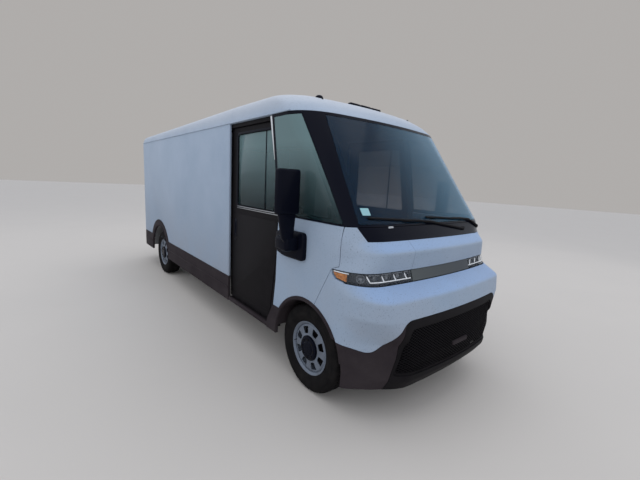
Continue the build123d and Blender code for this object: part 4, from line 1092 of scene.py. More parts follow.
def lamp_cells():
    """Plated walls, hooded lids and round projectors behind the guides, with a bowl near the outer end."""
    parts = []
    for k in range(4):
        corner = GUIDE_FIRST + k * GUIDE_PITCH
        across = np.linspace(corner - GUIDE_PITCH + 0.020, corner, 6)
        lid = [skin_point(LID_BACK, x=x, z=LAMP_HIGH - 0.016) for x in across]
        wall = [skin_point(depth, x=corner + 0.022, z=1.195) for depth in (0.016, 0.050)]
        eye = skin_point(0.044, x=corner - GUIDE_PITCH / 2 + 0.012, z=1.199)
        for side in (1, -1):
            parts.append(tube(both(lid, side), 0.008, 10))
            parts.append(plank([(side * p.x, p.y) for p in wall], LAMP_LOW + 0.006, LAMP_HIGH - 0.006, 0.003))
            parts.append(rod((side * eye.x, eye.y - 0.008, eye.z), (side * eye.x, eye.y + 0.02, eye.z), 0.021, 28))
    for side in (1, -1):
        front, rear = (skin_point(depth, y=OUTER_EYE, z=1.196) for depth in (0.030, 0.052))
        aim = Vector((side * (front.x - rear.x), front.y - rear.y, 0)).normalized()
        turn = aim.to_track_quat("X", "Z").to_matrix()
        cup = turned([(out, radius) for radius, out in OUTER_BOWL], (0, 0, 0), 1, 40)
        for vert in cup.verts:
            vert.co = turn @ vert.co + Vector((side * rear.x, rear.y, rear.z))
        bmesh.ops.recalc_face_normals(cup, faces=cup.faces)
        parts.append(cup)
    return joined(*parts)


def make_lamps():
    """Clear headlamps over dark bowls with plated cells, white light guides, amber ends and the bar between."""
    outboard = beyond_bar(BAR_END + 0.010)
    bm = skin_part((lamp_side(GAP / 2), SIDE_VIEW, True), (outboard, FRONT_VIEW, True))
    piece("headlamp_covers", thickened(bm, 0.003, 0.001), "lens", BODY, ["headlamps"])
    bowl = skin_part(
        (lamp_side(-0.004), SIDE_VIEW, True), (beyond_bar(BAR_END - 0.002), FRONT_VIEW, True),
        source=offset_skin(BOWL_BACK),
    )
    piece("headlamp_bowls", thickened(bowl, 0.004, 0), "lamp_back", BODY)
    shelf = []
    for z, rise in ((LAMP_LOW, 0.004), (LAMP_HIGH, -0.004)):
        row = int(np.argmin(abs(SKIN[:, 0, 2] - z)))
        outer, inner = offset_skin(SHELF_FRONT)[row], offset_skin(SHELF_BACK)[row]
        rear = LAMP_TIP[0] if rise < 0 else LAMP_END[-1][0]
        keep = [i for i in range(len(outer)) if outer[i][0] > BAR_END - 0.004 and outer[i][1] < rear]
        strip = np.array([[outer[i] for i in keep], [inner[i] for i in keep]])
        strip[:, :, 2] = z + rise
        shelf.append(thickened(mirrored(grid_mesh(strip)), 0.002, 0))
    piece("headlamp_shelves", joined(*shelf), "black_gloss", BODY)
    bm = skin_part((lamp_side(GAP / 2), SIDE_VIEW, True), (bar_front(0.0015), FRONT_VIEW, True))
    piece("light_bar", thickened(bm, 0.030), "light_bar", BODY, ["light_bar"])
    # Painted shade: a near-black sheet behind the bar stands in for the shade inside the lamp.
    backing = skin_part(
        (lamp_side(-0.003), SIDE_VIEW, True), (bar_front(-0.02), FRONT_VIEW, True), source=offset_skin(BAR_BACK)
    )
    piece("bar_backing", thickened(backing, 0.004, 0), "shade_black", BODY)
    piece("light_guides", lamp_guides(), "lamp_glow", BODY)
    piece("lamp_cells", lamp_cells(), "lamp_chrome", BODY, angle=40)
    ends = rectangle(AMBER_FRONT, LAMP_LOW - 0.05, at(-0.2), AMBER_TOP)
    amber = skin_part((lamp_side(0.008), SIDE_VIEW, True), (ends, SIDE_VIEW, True), source=offset_skin(AMBER_BACK))
    piece("turn_lamps", thickened(amber, 0.008, 0.002), "amber", BODY)


# ------------------------------------------------------------------ grille
MESH_BACK = 0.018
BADGE_HALF, BADGE_LOW, BADGE_HIGH, BADGE_STEPS = 0.118, 0.589, 0.623, 27


def node_tree(name, inputs):
    """Geometry Nodes tree with named inputs, ending in realised copies that carry a finish."""
    tree = bpy.data.node_groups.new(name, "GeometryNodeTree")
    face = tree.interface
    keys = {}
    for title, kind in (("Geometry", "Geometry"), *inputs, ("Finish", "Material")):
        keys[title] = face.new_socket(title, in_out="INPUT", socket_type="NodeSocket" + kind).identifier
    face.new_socket("Geometry", in_out="OUTPUT", socket_type="NodeSocketGeometry")
    entry, leave = tree.nodes.new("NodeGroupInput"), tree.nodes.new("NodeGroupOutput")
    real = tree.nodes.new("GeometryNodeRealizeInstances")
    paint = tree.nodes.new("GeometryNodeSetMaterial")
    tree.links.new(real.outputs["Geometry"], paint.inputs["Geometry"])
    tree.links.new(entry.outputs["Finish"], paint.inputs["Material"])
    tree.links.new(paint.outputs["Geometry"], leave.inputs["Geometry"])
    return tree, keys, entry, real


def wire_tree():
    """Geometry Nodes: turns a wire drawing into round bars."""
    tree, keys, entry, real = node_tree("Woven Bars", (("Bar Radius", "Float"), ("Bar Sides", "Int")))
    wires = tree.nodes.new("GeometryNodeMeshToCurve")
    ring = tree.nodes.new("GeometryNodeCurvePrimitiveCircle")
    bars = tree.nodes.new("GeometryNodeCurveToMesh")
    bars.inputs["Fill Caps"].default_value = True
    link = tree.links.new
    link(entry.outputs["Geometry"], wires.inputs["Mesh"])
    link(entry.outputs["Bar Sides"], ring.inputs["Resolution"])
    link(entry.outputs["Bar Radius"], ring.inputs["Radius"])
    link(wires.outputs["Curve"], bars.inputs["Curve"])
    link(ring.outputs["Curve"], bars.inputs["Profile Curve"])
    link(bars.outputs["Mesh"], real.inputs["Geometry"])
    return tree, keys


def scatter_tree():
    """Geometry Nodes: sets a copy of a piece on every point, turned to the point's facing."""
    tree, keys, entry, real = node_tree("Piece Rows", (("Piece", "Object"),))
    info = tree.nodes.new("GeometryNodeObjectInfo")
    facing = tree.nodes.new("GeometryNodeInputNamedAttribute")
    facing.data_type = "FLOAT_VECTOR"
    facing.inputs["Name"].default_value = "facing"
    aim = tree.nodes.new("FunctionNodeAlignRotationToVector")
    aim.axis = "Z"
    copies = tree.nodes.new("GeometryNodeInstanceOnPoints")
    link = tree.links.new
    link(entry.outputs["Geometry"], copies.inputs["Points"])
    link(entry.outputs["Piece"], info.inputs["Object"])
    link(info.outputs["Geometry"], copies.inputs["Instance"])
    link(facing.outputs["Attribute"], aim.inputs["Vector"])
    link(aim.outputs["Rotation"], copies.inputs["Rotation"])
    link(copies.outputs["Instances"], real.inputs["Geometry"])
    return tree, keys


def evaluated(name, mesh, tree, values, material, body):
    """Runs a Geometry Nodes tree on a mesh and keeps the plain result."""
    source = bpy.data.objects.new(name + "_source", mesh)
    bpy.context.scene.collection.objects.link(source)
    modifier = source.modifiers.new("rows", "NODES")
    modifier.node_group = tree
    for key, value in values.items():
        modifier[key] = value
    bpy.context.view_layer.update()
    depsgraph = bpy.context.evaluated_depsgraph_get()
    plain = bpy.data.meshes.new_from_object(source.evaluated_get(depsgraph), depsgraph=depsgraph)
    source.modifiers.remove(modifier)
    bpy.data.objects.remove(source)
    bm = bmesh.new()
    bm.from_mesh(plain)
    bpy.data.meshes.remove(plain)
    bmesh.ops.recalc_face_normals(bm, faces=bm.faces)
    return piece(name, bm, material, body)


def rows_of(name, unit, spots, material, body):
    """Copies of a small piece at (place, facing) spots, made with Geometry Nodes."""
    held = bpy.data.meshes.new(name + "_unit")
    unit.to_mesh(held)
    unit.free()
    stamp = bpy.data.objects.new(name + "_unit", held)
    bpy.context.scene.collection.objects.link(stamp)
    mesh = bpy.data.meshes.new(name)
    mesh.from_pydata([tuple(place) for place, _ in spots], [], [])
    facing = mesh.attributes.new("facing", "FLOAT_VECTOR", "POINT")
    for i, (_, way) in enumerate(spots):
        facing.data[i].vector = way
    tree, keys = scatter_tree()
    evaluated(name, mesh, tree, {keys["Piece"]: stamp, keys["Finish"]: finish(material)}, material, body)
    bpy.data.objects.remove(stamp)


def make_grille(pitch_x, pitch_z, wire):
    """Fine diamond mesh in the bumper opening with a rim and a blank badge bar."""
    low, high = GRILLE[0][1], GRILLE[-1][1]
    outline = [*GRILLE, *[(-x, z) for x, z in reversed(GRILLE)]]
    field = inset(outline, 0.012)
    verts, edges, known = [], [], {}

    def spot(column, row):
        """Place of a crossing in the front view."""
        return column * pitch_x / 2, low + row * pitch_z / 2

    def vert(column, row):
        """Number of the point at a crossing, set on the skin when it is first asked for."""
        key = (column, row)
        if key not in known:
            x, z = spot(column, row)
            known[key] = len(verts)
            verts.append((x, skin_depth(x, z) + MESH_BACK, z))
        return known[key]

    columns, rows = int(2 * HALF / pitch_x), int(2 * (high - low) / pitch_z) + 1
    for row in range(rows):
        for column in range(-columns, columns + 1):
            if (row + column) % 2:
                continue
            for step in (-1, 1):
                ends = ((column, row), (column + step, row + 1))
                if all(inside(field, spot(*end)) for end in ends):
                    edges.append(tuple(vert(*end) for end in ends))
    mesh = bpy.data.meshes.new("grille_wires")
    mesh.from_pydata(verts, edges, [])
    tree, keys = wire_tree()
    values = {keys["Bar Radius"]: wire, keys["Bar Sides"]: 6, keys["Finish"]: finish("black_metal")}
    made = evaluated("grille_mesh", mesh, tree, values, "black_metal", BODY)
    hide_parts("grille_mesh")
    rim = skin_part(
        (grille_front(-0.002), FRONT_VIEW, True), (grille_front(0.022), FRONT_VIEW, False),
        (below_face(), SIDE_VIEW, True), source=offset_skin(0.010),
    )
    piece("grille_rim", thickened(rim, 0.016, 0.003), "black_metal", BODY)
    middle = (BADGE_LOW + BADGE_HIGH) / 2
    bar = []
    for k in range(BADGE_STEPS + 1):
        x = -BADGE_HALF + 2 * BADGE_HALF * k / BADGE_STEPS
        bar.append((x, skin_depth(x, middle) + 0.002))
    badge = grid_mesh([[(x, y, z) for x, y in bar] for z in (BADGE_LOW, BADGE_HIGH)])
    piece("badge_bar", thickened(badge, 0.016, 0.005), "dark_plastic", BODY)


# ------------------------------------------------------------------ roof
ROOF_COUNTS = (30, 24, 60)
ROOF_THICK = 0.030
RIDGE_START = NOSE + 1.66
REAR_ROUND = 0.045


def edge_profile(rise):
    """(in, height) points from the gutter over the crease and the rounded edge to the crown."""
    points = [(CREASE_IN * t, GUTTER + CREASE_RISE * t) for t in np.linspace(0, 1, 9, endpoint=False)]
    top = rise - CROWN
    for t in np.linspace(0, 1, 26):
        points.append((pulled(t, CREASE_IN, ROOF_PULL_IN, EDGE_IN), GUTTER + pulled(t, CREASE_RISE, top, top)))
    return points


def brow_height(x, y):
    """Height at which the brow passes over a place in plan."""
    heights = np.linspace(0, BROW_LEVELS[-1].z, 40)
    fields = along_levels(BROW_LEVELS, heights)
    xs, ys = half_outlines(HALF, fields, 4.0, ROOF_COUNTS)
    backs = np.array([np.interp(x, xs[i], ys[i]) for i in range(len(heights))])
    result = np.empty(len(x))
    for i in range(len(x)):
        result[i] = np.interp(y[i], backs[:, i], heights, right=9.0)
    return GUTTER + result


def cab_roof_grid():
    """Left half of the cab roof as rows from the gutter to the ridge."""
    profile = edge_profile(CAB_RISE)
    rows = []
    for inwards, height in profile:
        fields = along_levels(BROW_LEVELS, np.array([height - GUTTER]))
        x, y = half_outlines(HALF - inwards, fields, OPENING_REAR - NOSE, ROOF_COUNTS)
        rows.append(np.stack([x[0], y[0], np.full(x.shape[1], height)], axis=1))
    last = rows[-1]
    share = np.maximum(np.linspace(0, 1, len(last)) - 0.35, 0) / 0.65 * 0.999
    ridge_y = np.maximum(last[:, 1], RIDGE_START + (OPENING_REAR - RIDGE_START) * share)
    ridge_y = np.minimum(ridge_y, OPENING_REAR)
    for t in np.linspace(0, 1, 34)[1:]:
        x = last[:, 0] * (1 - t)
        y = last[:, 1] + (ridge_y - last[:, 1]) * t**1.3
        section = GUTTER + CAB_RISE - CROWN * np.clip(x / (HALF - EDGE_IN), 0, 1) ** 2
        z = np.minimum(section, np.maximum(brow_height(x, y), last[0, 2]))
        rows.append(np.stack([x, y, z], axis=1))
    grid = np.array(rows)
    softer = smoothed(grid, 1.3, 0)
    softer[0] = grid[0]
    softer = smoothed(softer, 1.5, 1, mirror_start=True)
    softer[:, -1, 1] = OPENING_REAR
    softer[-1, :, 0] = 0.0
    softer[:, 0, 0] = 0.0
    return softer


def cargo_roof_grid():
    """Left half of the cargo roof: rows from the gutter to the ridge, columns rearwards."""
    round_start = BODY_REAR - REAR_ROUND
    stations = [*np.linspace(OPENING_REAR, PANEL_REAR, 40), *np.linspace(PANEL_REAR, round_start, 10)[1:]]
    columns = [(y, 0.0) for y in stations]
    for t in np.linspace(0, 1, 8)[1:]:
        columns.append((round_start + REAR_ROUND * sin(t * pi / 2), REAR_ROUND * (1 - cos(t * pi / 2))))
    made = []
    for y, drop in columns:
        share = (y - OPENING_REAR) / (BODY_REAR - OPENING_REAR)
        rise = CAB_RISE - REAR_FALL * share
        profile = edge_profile(rise)
        half = HALF - REAR_TAPER * max(0.0, (y - PANEL_REAR) / (BODY_REAR - PANEL_REAR))
        line = [(half - inwards, height) for inwards, height in profile]
        edge_x = line[-1][0]
        for t in np.linspace(0, 1, 24)[1:]:
            x = edge_x * (1 - t)
            line.append((x, GUTTER + rise - CROWN * (x / (HALF - EDGE_IN)) ** 2))
        crown = GUTTER + rise
        points = []
        for x, z in line:
            shrink = min(1.0, max(0.0, (z - GUTTER) / 0.05))
            points.append((x - drop * (x / half), y, z - drop * shrink * (z - GUTTER) / (crown - GUTTER)))
        made.append(points)
    grid = np.array(made).transpose(1, 0, 2)
    softer = smoothed(grid, 1.3, 0)
    softer[0] = grid[0]
    softer[-1, :, 0] = 0.0
    return smoothed_middle(softer)


def smoothed_middle(grid):
    """Softens along the rows and keeps both ends where they were."""
    softer = smoothed(grid, 1.2, 1)
    softer[:, 0], softer[:, -1] = grid[:, 0], grid[:, -1]
    return softer


def make_roofs():
    """Cab roof with its brow, cargo roof falling to the rear, and the seam between them."""
    cab = mirrored(grid_mesh(cab_roof_grid()))
    bmesh.ops.remove_doubles(cab, verts=cab.verts, dist=2e-4)
    piece("cab_roof", thickened(cab, ROOF_THICK, 0.0), "white_paint", BODY, ["cab_roof"], angle=40)
    grid = cargo_roof_grid()
    last = grid[:, -1]
    cap = np.stack([last, np.stack([last[:, 0], last[:, 1], np.full(len(last), GUTTER)], axis=1)], axis=1)
    shell = joined(grid_mesh(grid), grid_mesh(cap))
    bmesh.ops.remove_doubles(shell, verts=shell.verts, dist=1e-5)
    mirrored(shell)
    piece("cargo_roof", thickened(shell, ROOF_THICK, 0.0), "white_paint", BODY, ["cargo_roof"], angle=40)
    seam = []
    line = cab_roof_grid()[:, -1]
    for side in (1, -1):
        seam.append([(side * x, y - 0.003, z - 0.0006) for x, y, z in line])
    path = [*seam[0], *reversed(seam[1][:-1])]
    piece("roof_seam", tube(path, 0.0022, 6), "white_paint", BODY)
    rails = []
    run = np.linspace(door_edge_at(GUTTER) - 0.3, PANEL_REAR, 30)
    for side in (1, -1):
        rails.append(tube([(side * (HALF + 0.001), y, GUTTER + 0.003) for y in run], 0.007, 8))
    piece("drip_rails", joined(*rails), "white_paint", BODY)


# ------------------------------------------------------------------ body sides and doors
DOOR_FACE, DOOR_THICK = HALF - 0.048, 0.040
DOOR_LOW, DOOR_HIGH, DOOR_SHIFT = 0.451, GUTTER - 0.053, 0.006
LEAF_REAR = OPENING_REAR + 0.030
WINDOW_LOW, WINDOW_HIGH = BELT + 0.013, GUTTER - 0.125
WINDOW_REAR, DIVIDER, DIVIDER_WIDE = at(1.440), at(0.824), 0.012
SIDES = ((1, "left"), (-1, "right"))
CLADDING_FACE, ARCH_THICK, SILL_THICK = HALF + 0.004, 0.029, 0.024
RIB_LOW, RIB_HIGH, RIB_FROM_AXLE = 0.546, 0.576, 0.560
FIXING_IN, FIXING_PITCH, RIVET_PITCH = 0.028, 0.42, 0.16
PULL_AT, PULL_LOW, PULL_HIGH, LOCK_HIGH = at(1.470), 1.225, 1.425, 1.180
PRESSING_LOW, PRESSING_KNEE, PRESSING_HIGH = 0.540, 1.200, 1.500


def flat_side(outline, face_x, depth, holes=(), bevel=0.003):
    """A plate in side view at a plane X, as thick as depth inwards, with holes cut through."""
    low = (min(p[0] for p in outline) - 0.01, min(p[1] for p in outline) - 0.01)
    high = (max(p[0] for p in outline) + 0.01, max(p[1] for p in outline) + 0.01)
    grid = np.array([[(face_x, y, z) for y in (low[0], high[0])] for z in (low[1], high[1])])
    bm = grid_mesh(grid)
    trim(bm, outline, SIDE_VIEW, True)
    for hole in holes:
        trim(bm, hole, SIDE_VIEW, False)
    return thickened(bm, depth, bevel)


def to_side(bm, side):
    """Moves a piece made for +X to its side of the van."""
    if side < 0:
        for vert in bm.verts:
            vert.co.x = -vert.co.x
        bmesh.ops.reverse_faces(bm, faces=bm.faces)
    return bm


def both_sides(maker):
    """One bmesh holding the left and right copies of a piece."""
    return joined(*[to_side(maker(), side) for side, _ in SIDES])


def door_outline():
    """Side view of a door leaf."""
    return [*door_edge_line(DOOR_SHIFT, DOOR_HIGH, DOOR_LOW), (LEAF_REAR, DOOR_LOW), (LEAF_REAR, DOOR_HIGH)]


def door_window():
    """Side view of a door's window opening."""
    low, high = door_edge_at(WINDOW_LOW) + 0.062, door_edge_at(WINDOW_HIGH) + 0.052
    outline = [(low, WINDOW_LOW), (WINDOW_REAR, WINDOW_LOW), (WINDOW_REAR, WINDOW_HIGH), (high, WINDOW_HIGH)]
    return rounded(outline, 0.035)


def door_pull():
    """Flat plate, grip bar and lock barrel of a door."""
    grip = (
        (0.003, PULL_LOW + 0.020), (0.008, PULL_LOW + 0.033), (0.008, PULL_HIGH - 0.033), (0.003, PULL_HIGH - 0.020),
    )
    return joined(
        brick((DOOR_FACE + 0.004, PULL_AT - 0.030, PULL_LOW), (DOOR_FACE + 0.008, PULL_AT + 0.030, PULL_HIGH), 0.002),
        tube([(DOOR_FACE + out, PULL_AT, z) for out, z in grip], 0.0045, 10),
        rod((DOOR_FACE + 0.002, PULL_AT, LOCK_HIGH), (DOOR_FACE + 0.009, PULL_AT, LOCK_HIGH), 0.014, 20),
    )


def door_parts():
    """The pieces of a door made for +X, as (name, finish, bmesh)."""
    window = door_window()
    divider = rectangle(DIVIDER, WINDOW_LOW - 0.01, DIVIDER + DIVIDER_WIDE, WINDOW_HIGH + 0.01)
    base = door_edge_at(BELT) + 0.050
    pressing = rounded([
        (door_edge_at(PRESSING_HIGH) + 0.075, PRESSING_HIGH), (LEAF_REAR - 0.060, PRESSING_HIGH),
        (LEAF_REAR - 0.060, PRESSING_LOW), (door_edge_at(PRESSING_LOW) + 0.060, PRESSING_LOW),
        (door_edge_at(PRESSING_KNEE) + 0.075, PRESSING_KNEE),
    ], 0.05)
    brush = door_edge_line(DOOR_SHIFT, DOOR_HIGH - 0.02, DOOR_LOW + 0.02)
    return (
        ("door", "black_metal", flat_side(door_outline(), DOOR_FACE, DOOR_THICK, [window], 0.004)),
        ("door_window_frame", "black_gloss", joined(
            flat_side(inset(window, -0.022), DOOR_FACE + 0.004, 0.006, [window], 0.0025),
            flat_side(divider, DOOR_FACE - 0.004, 0.016, (), 0.002),
        )),
        ("door_glass", "side_glass", flat_side(inset(window, -0.006), DOOR_FACE - 0.010, 0.005, (), 0.001)),
        ("door_seals", "rubber", tube([(DOOR_FACE - 0.004, y, z) for y, z in window], 0.005, 6, closed=True)),
        ("door_ledge", "chrome", joined(
            brick((DOOR_FACE - 0.002, base, BELT - 0.004), (DOOR_FACE + 0.011, WINDOW_REAR, BELT + 0.006), 0.003),
            brick((DOOR_FACE - 0.002, base, BELT - 0.022), (DOOR_FACE + 0.008, WINDOW_REAR, BELT - 0.013), 0.003),
        )),
        ("door_pressing", "black_metal", flat_side(pressing, DOOR_FACE + 0.005, 0.006, (), 0.0045)),
        ("door_pull", "black_gloss", door_pull()),
        ("door_brush", "rubber", tube([(DOOR_FACE + 0.001, y + 0.010, z) for y, z in brush], 0.005, 6)),
    )


def pillar_strip():
    """Bright sill plate along the upper front edge of the door opening."""
    top, end = GUTTER - 0.012, GUTTER - 0.42
    line = door_edge_line(0.002, top, end)
    outline = [*line, (line[-1][0] + 0.012, end), (line[0][0] + 0.034, top)]
    return flat_side(outline, HALF - 0.003, 0.010, (), 0.003)


def make_doors():
    """Sliding side doors: pressed leaf, glossy window frames, glass, ledge, pull and lock."""
    for side, name in SIDES:
        for part, material, bm in door_parts():
            node = f"{part}_{name}"
            stands_for = [node] if part in ("door", "door_glass") else ()
            piece(node, to_side(bm, side), material, f"door_{name}_body", stands_for)
    piece("pillar_strips", both_sides(pillar_strip), "door_aluminium", BODY)


def arch_turn(height, radius):
    """Angle in degrees at which a wheel arch passes a height."""
    return degrees(asin((height - TYRE_RADIUS) / radius))


def cladding_outlines():
    """Side views of the dark lower cladding: front arch, sill, and rear quarter with its arch."""
    lip_turn, inner_turn = arch_turn(DOOR_KINK, FRONT_LIP), arch_turn(DOOR_KINK, FRONT_ARCH)
    sill_turn = arch_turn(SILL_LOW, FRONT_ARCH)
    centre = (at(0), TYRE_RADIUS)
    front = [
        *arc(centre, FRONT_LIP, 180 - lip_turn, lip_turn, 41),
        *door_edge_line(0.0, DOOR_KINK, SILL_END[1]),
        (SILL_END[0], SILL_LOW),
        *arc(centre, FRONT_ARCH, sill_turn, 180 - inner_turn, 49),
    ]
    middle = rectangle(SILL_END[0], SILL_LOW, OPENING_REAR, SILL_HIGH)
    top_turn, low_turn = arch_turn(CLADDING_TOP, REAR_LIP), arch_turn(SILL_LOW, REAR_ARCH)
    centre = (REAR_AXLE, TYRE_RADIUS)
    rear = [
        (OPENING_REAR, SILL_LOW),
        *arc(centre, REAR_ARCH, 180 - low_turn, low_turn, 49),
        (PANEL_REAR, SILL_LOW), (PANEL_REAR, CLADDING_TOP),
        *arc(centre, REAR_LIP, top_turn, 180 - top_turn, 49),
        (OPENING_REAR, CLADDING_TOP),
    ]
    return front, middle, rear


def make_cladding():
    """Grained cladding with rounded arch lips, rub strip and fixings."""
    front, middle, rear = cladding_outlines()
    def plates():
        """Front arch, sill and rear quarter of one side."""
        return joined(
            flat_side(front, CLADDING_FACE, ARCH_THICK, (), 0.006),
            flat_side(middle, HALF - 0.001, SILL_THICK, (), 0.005),
            flat_side(rear, CLADDING_FACE, ARCH_THICK, (), 0.006),
        )

    piece("side_cladding", both_sides(plates), "dark_plastic", BODY, ["side_cladding"])

    def lips():
        """Rolled edges round both arches and a rib along the rear cladding."""
        low_turn = degrees(atan2(SILL_LOW - TYRE_RADIUS, REAR_ARCH))
        rear_arc = arc((REAR_AXLE, TYRE_RADIUS), REAR_ARCH + 0.016, 180 - low_turn, low_turn, 60)
        inner = arch_turn(DOOR_KINK, FRONT_ARCH)
        front_arc = arc((at(0), TYRE_RADIUS), FRONT_ARCH + 0.012, 180 - inner, 0, 60)
        near, far = CLADDING_FACE - 0.004, CLADDING_FACE + 0.008
        return joined(
            tube([(CLADDING_FACE, y, z) for y, z in rear_arc], 0.007, 8),
            tube([(CLADDING_FACE, y, z) for y, z in front_arc], 0.006, 8),
            brick((near, OPENING_REAR + 0.02, RIB_LOW), (far, REAR_AXLE - RIB_FROM_AXLE, RIB_HIGH), 0.005),
            brick((near, REAR_AXLE + RIB_FROM_AXLE, RIB_LOW), (far, PANEL_REAR - 0.02, RIB_HIGH), 0.005),
        )

    piece("arch_lips", both_sides(lips), "dark_plastic", BODY)
    spots = []
    for side in (1, -1):
        x, radius = side * (CLADDING_FACE - 0.001), REAR_LIP - FIXING_IN
        for angle in range(20, 170, 15):
            turn = radians(angle)
            spots.append(((x, REAR_AXLE + radius * cos(turn), TYRE_RADIUS + radius * sin(turn)), (side, 0, 0)))
        for y in np.arange(OPENING_REAR + 0.12, PANEL_REAR, FIXING_PITCH):
            if abs(y - REAR_AXLE) > REAR_LIP + 0.03:
                spots.append(((x, y, CLADDING_TOP - 0.030), (side, 0, 0)))
    head = bmesh.new()
    bmesh.ops.create_cone(head, cap_ends=True, segments=12, radius1=0.009, radius2=0.006, depth=0.005)
    rows_of("cladding_fixings", head, spots, "rubber", BODY)


def make_panels():
    """White cargo sides with a softened edge and rows of rivets."""
    piece("side_panels", cad_copy("side_panels", 0.004), "white_paint", BODY, ["side_panels"])
    spots = []
    for side in (1, -1):
        for y in np.arange(OPENING_REAR + 0.10, PANEL_REAR - 0.03, RIVET_PITCH):
            for z in (GUTTER - 0.022, CLADDING_TOP + 0.024):
                spots.append(((side * (HALF - 0.0005), y, z), (side, 0, 0)))
    head = bmesh.new()
    bmesh.ops.create_cone(head, cap_ends=True, segments=10, radius1=0.0045, radius2=0.0028, depth=0.003)
    rows_of("panel_rivets", head, spots, "white_paint", BODY)


# ------------------------------------------------------------------ wheels and tyres
HOLES = 8
NUT_RING = 0.0840
TREAD_CUT = 0.0065
HOLE_LOW, HOLE_HIGH, HOLE_WIDE_LOW, HOLE_WIDE_HIGH = 0.132, 0.199, 0.054, 0.084
# closed sections as (outboard, radius)
RIM = (
    (0.1000, 0.2462), (0.0880, 0.2283), (0.070, 0.2275), (0.050, 0.2225), (0.030, 0.2200), (-0.060, 0.2200),
    (-0.0880, 0.2283), (-0.1000, 0.2462), (-0.1035, 0.2470), (-0.1052, 0.2440), (-0.1030, 0.2390),
    (-0.0930, 0.2235), (-0.0620, 0.2150), (0.0300, 0.2150), (0.0520, 0.2172), (0.0720, 0.2215), (0.0900, 0.2235),
    (0.1000, 0.2370), (0.1048, 0.2425), (0.1035, 0.2465),
)
HUB_CAP = (
    (0.078, 0.0), (0.078, 0.1090), (0.1060, 0.1100), (0.1120, 0.1075), (0.1155, 0.1020), (0.1180, 0.0880),
    (0.1178, 0.0700), (0.1160, 0.0660), (0.1175, 0.0620), (0.1215, 0.0560), (0.1225, 0.0400), (0.1228, 0.0),
)
CAP_RING = ((0.0950, 0.1080), (0.1010, 0.1080), (0.1010, 0.1160), (0.0950, 0.1160))
DRUM_INNER = {"front": 0.010, "rear": -0.03}


def tyre_profile():
    """Closed section of a tyre as (outboard, radius), the same on both sides."""
    wall = [
        (0.0985, 0.2475), (0.104, 0.259), (0.1115, 0.276), (0.1165, 0.292), (0.1178, 0.294), (0.1190, 0.297),
        (0.1212, 0.312), (0.1225, 0.328), (0.1219, 0.341), (0.1232, 0.3425), (0.1230, 0.345), (0.1212, 0.3465),
        (0.1185, 0.362), (0.1145, 0.376), (0.1105, 0.386), (0.1030, 0.3955), (0.0940, 0.4010), (0.0850, 0.4040),
    ]
    tread = []
    for middle, wide in ((0.062, 0.005), (0.022, 0.0045)):
        floor = wide * 0.7
        tread += [(middle + wide, 0.4062), (middle + floor, 0.3985), (middle - floor, 0.3985), (middle - wide, 0.4068)]
    outboard = [*wall, *tread]
    inboard = [(-d, r) for d, r in reversed(outboard)]
    bed = [(-0.0885, 0.2305), (0.0885, 0.2305)]
    return [*outboard, *inboard, *bed]


def make_tyre(end, name, side, station_y, segments):
    """Tyre with tread grooves and cross cuts on the shoulders and ribs."""
    centre = (side * TRACK_HALF, station_y, TYRE_RADIUS)
    profile = tyre_profile()
    bm = bmesh.new()
    rings = []
    for k in range(segments):
        angle = 2 * pi * k / segments
        ring = []
        for out, radius in profile:
            shoulder = abs(out) > 0.066 and radius > 0.390
            middle = abs(out) < 0.058 and radius > 0.4
            if (shoulder and k % 4 == 0) or (middle and k % 8 == (2 if out > 0 else 5)):
                radius -= TREAD_CUT
            ring.append(bm.verts.new(on_wheel(centre, side, out, radius, angle)))
        rings.append(ring)
    for k in range(segments):
        for i in range(len(profile)):
            bm.faces.new((rings[k - 1][i - 1], rings[k - 1][i], rings[k][i], rings[k][i - 1]))
    bmesh.ops.recalc_face_normals(bm, faces=bm.faces)
    piece(f"tyre_{end}_{name}", bm, "tyre", f"wheel_{end}_{name}_body", [f"tyre_{end}_{name}"], angle=34)


def disc_depth(radius):
    """Outboard distance of the wheel disc at a radius."""
    radii = (0.070, 0.110, 0.122, 0.130, 0.168, 0.200, 0.208, 0.214, 0.2225)
    depths = (0.1000, 0.0990, 0.0960, 0.0945, 0.0930, 0.0905, 0.0885, 0.0840, 0.0790)
    return float(np.interp(radius, radii, depths))


def wheel_disc():
    """Dished disc with eight windows, for +X about the origin."""
    columns, radii = 160, np.concatenate([np.linspace(0.066, 0.130, 9), np.linspace(0.134, 0.2225, 18)])
    bm = bmesh.new()
    turns = [2 * pi * k / columns for k in range(columns)]
    rings = [[bm.verts.new((disc_depth(r), r * cos(turn), r * sin(turn))) for turn in turns] for r in radii]
    for inner, outer in zip(rings, rings[1:]):
        for k in range(columns):
            bm.faces.new((inner[k - 1], outer[k - 1], outer[k], inner[k]))
    for k in range(HOLES):
        turn = 2 * pi * (k + 0.5) / HOLES
        along, across = Vector((cos(turn), sin(turn))), Vector((-sin(turn), cos(turn)))
        corners = [
            along * HOLE_LOW - across * HOLE_WIDE_LOW / 2, along * HOLE_HIGH - across * HOLE_WIDE_HIGH / 2,
            along * HOLE_HIGH + across * HOLE_WIDE_HIGH / 2, along * HOLE_LOW + across * HOLE_WIDE_LOW / 2,
        ]
        trim(bm, rounded([tuple(c) for c in corners], 0.018, 5), SIDE_VIEW, False)
    bm.normal_update()
    return thickened(bm, 0.007, 0.0018)


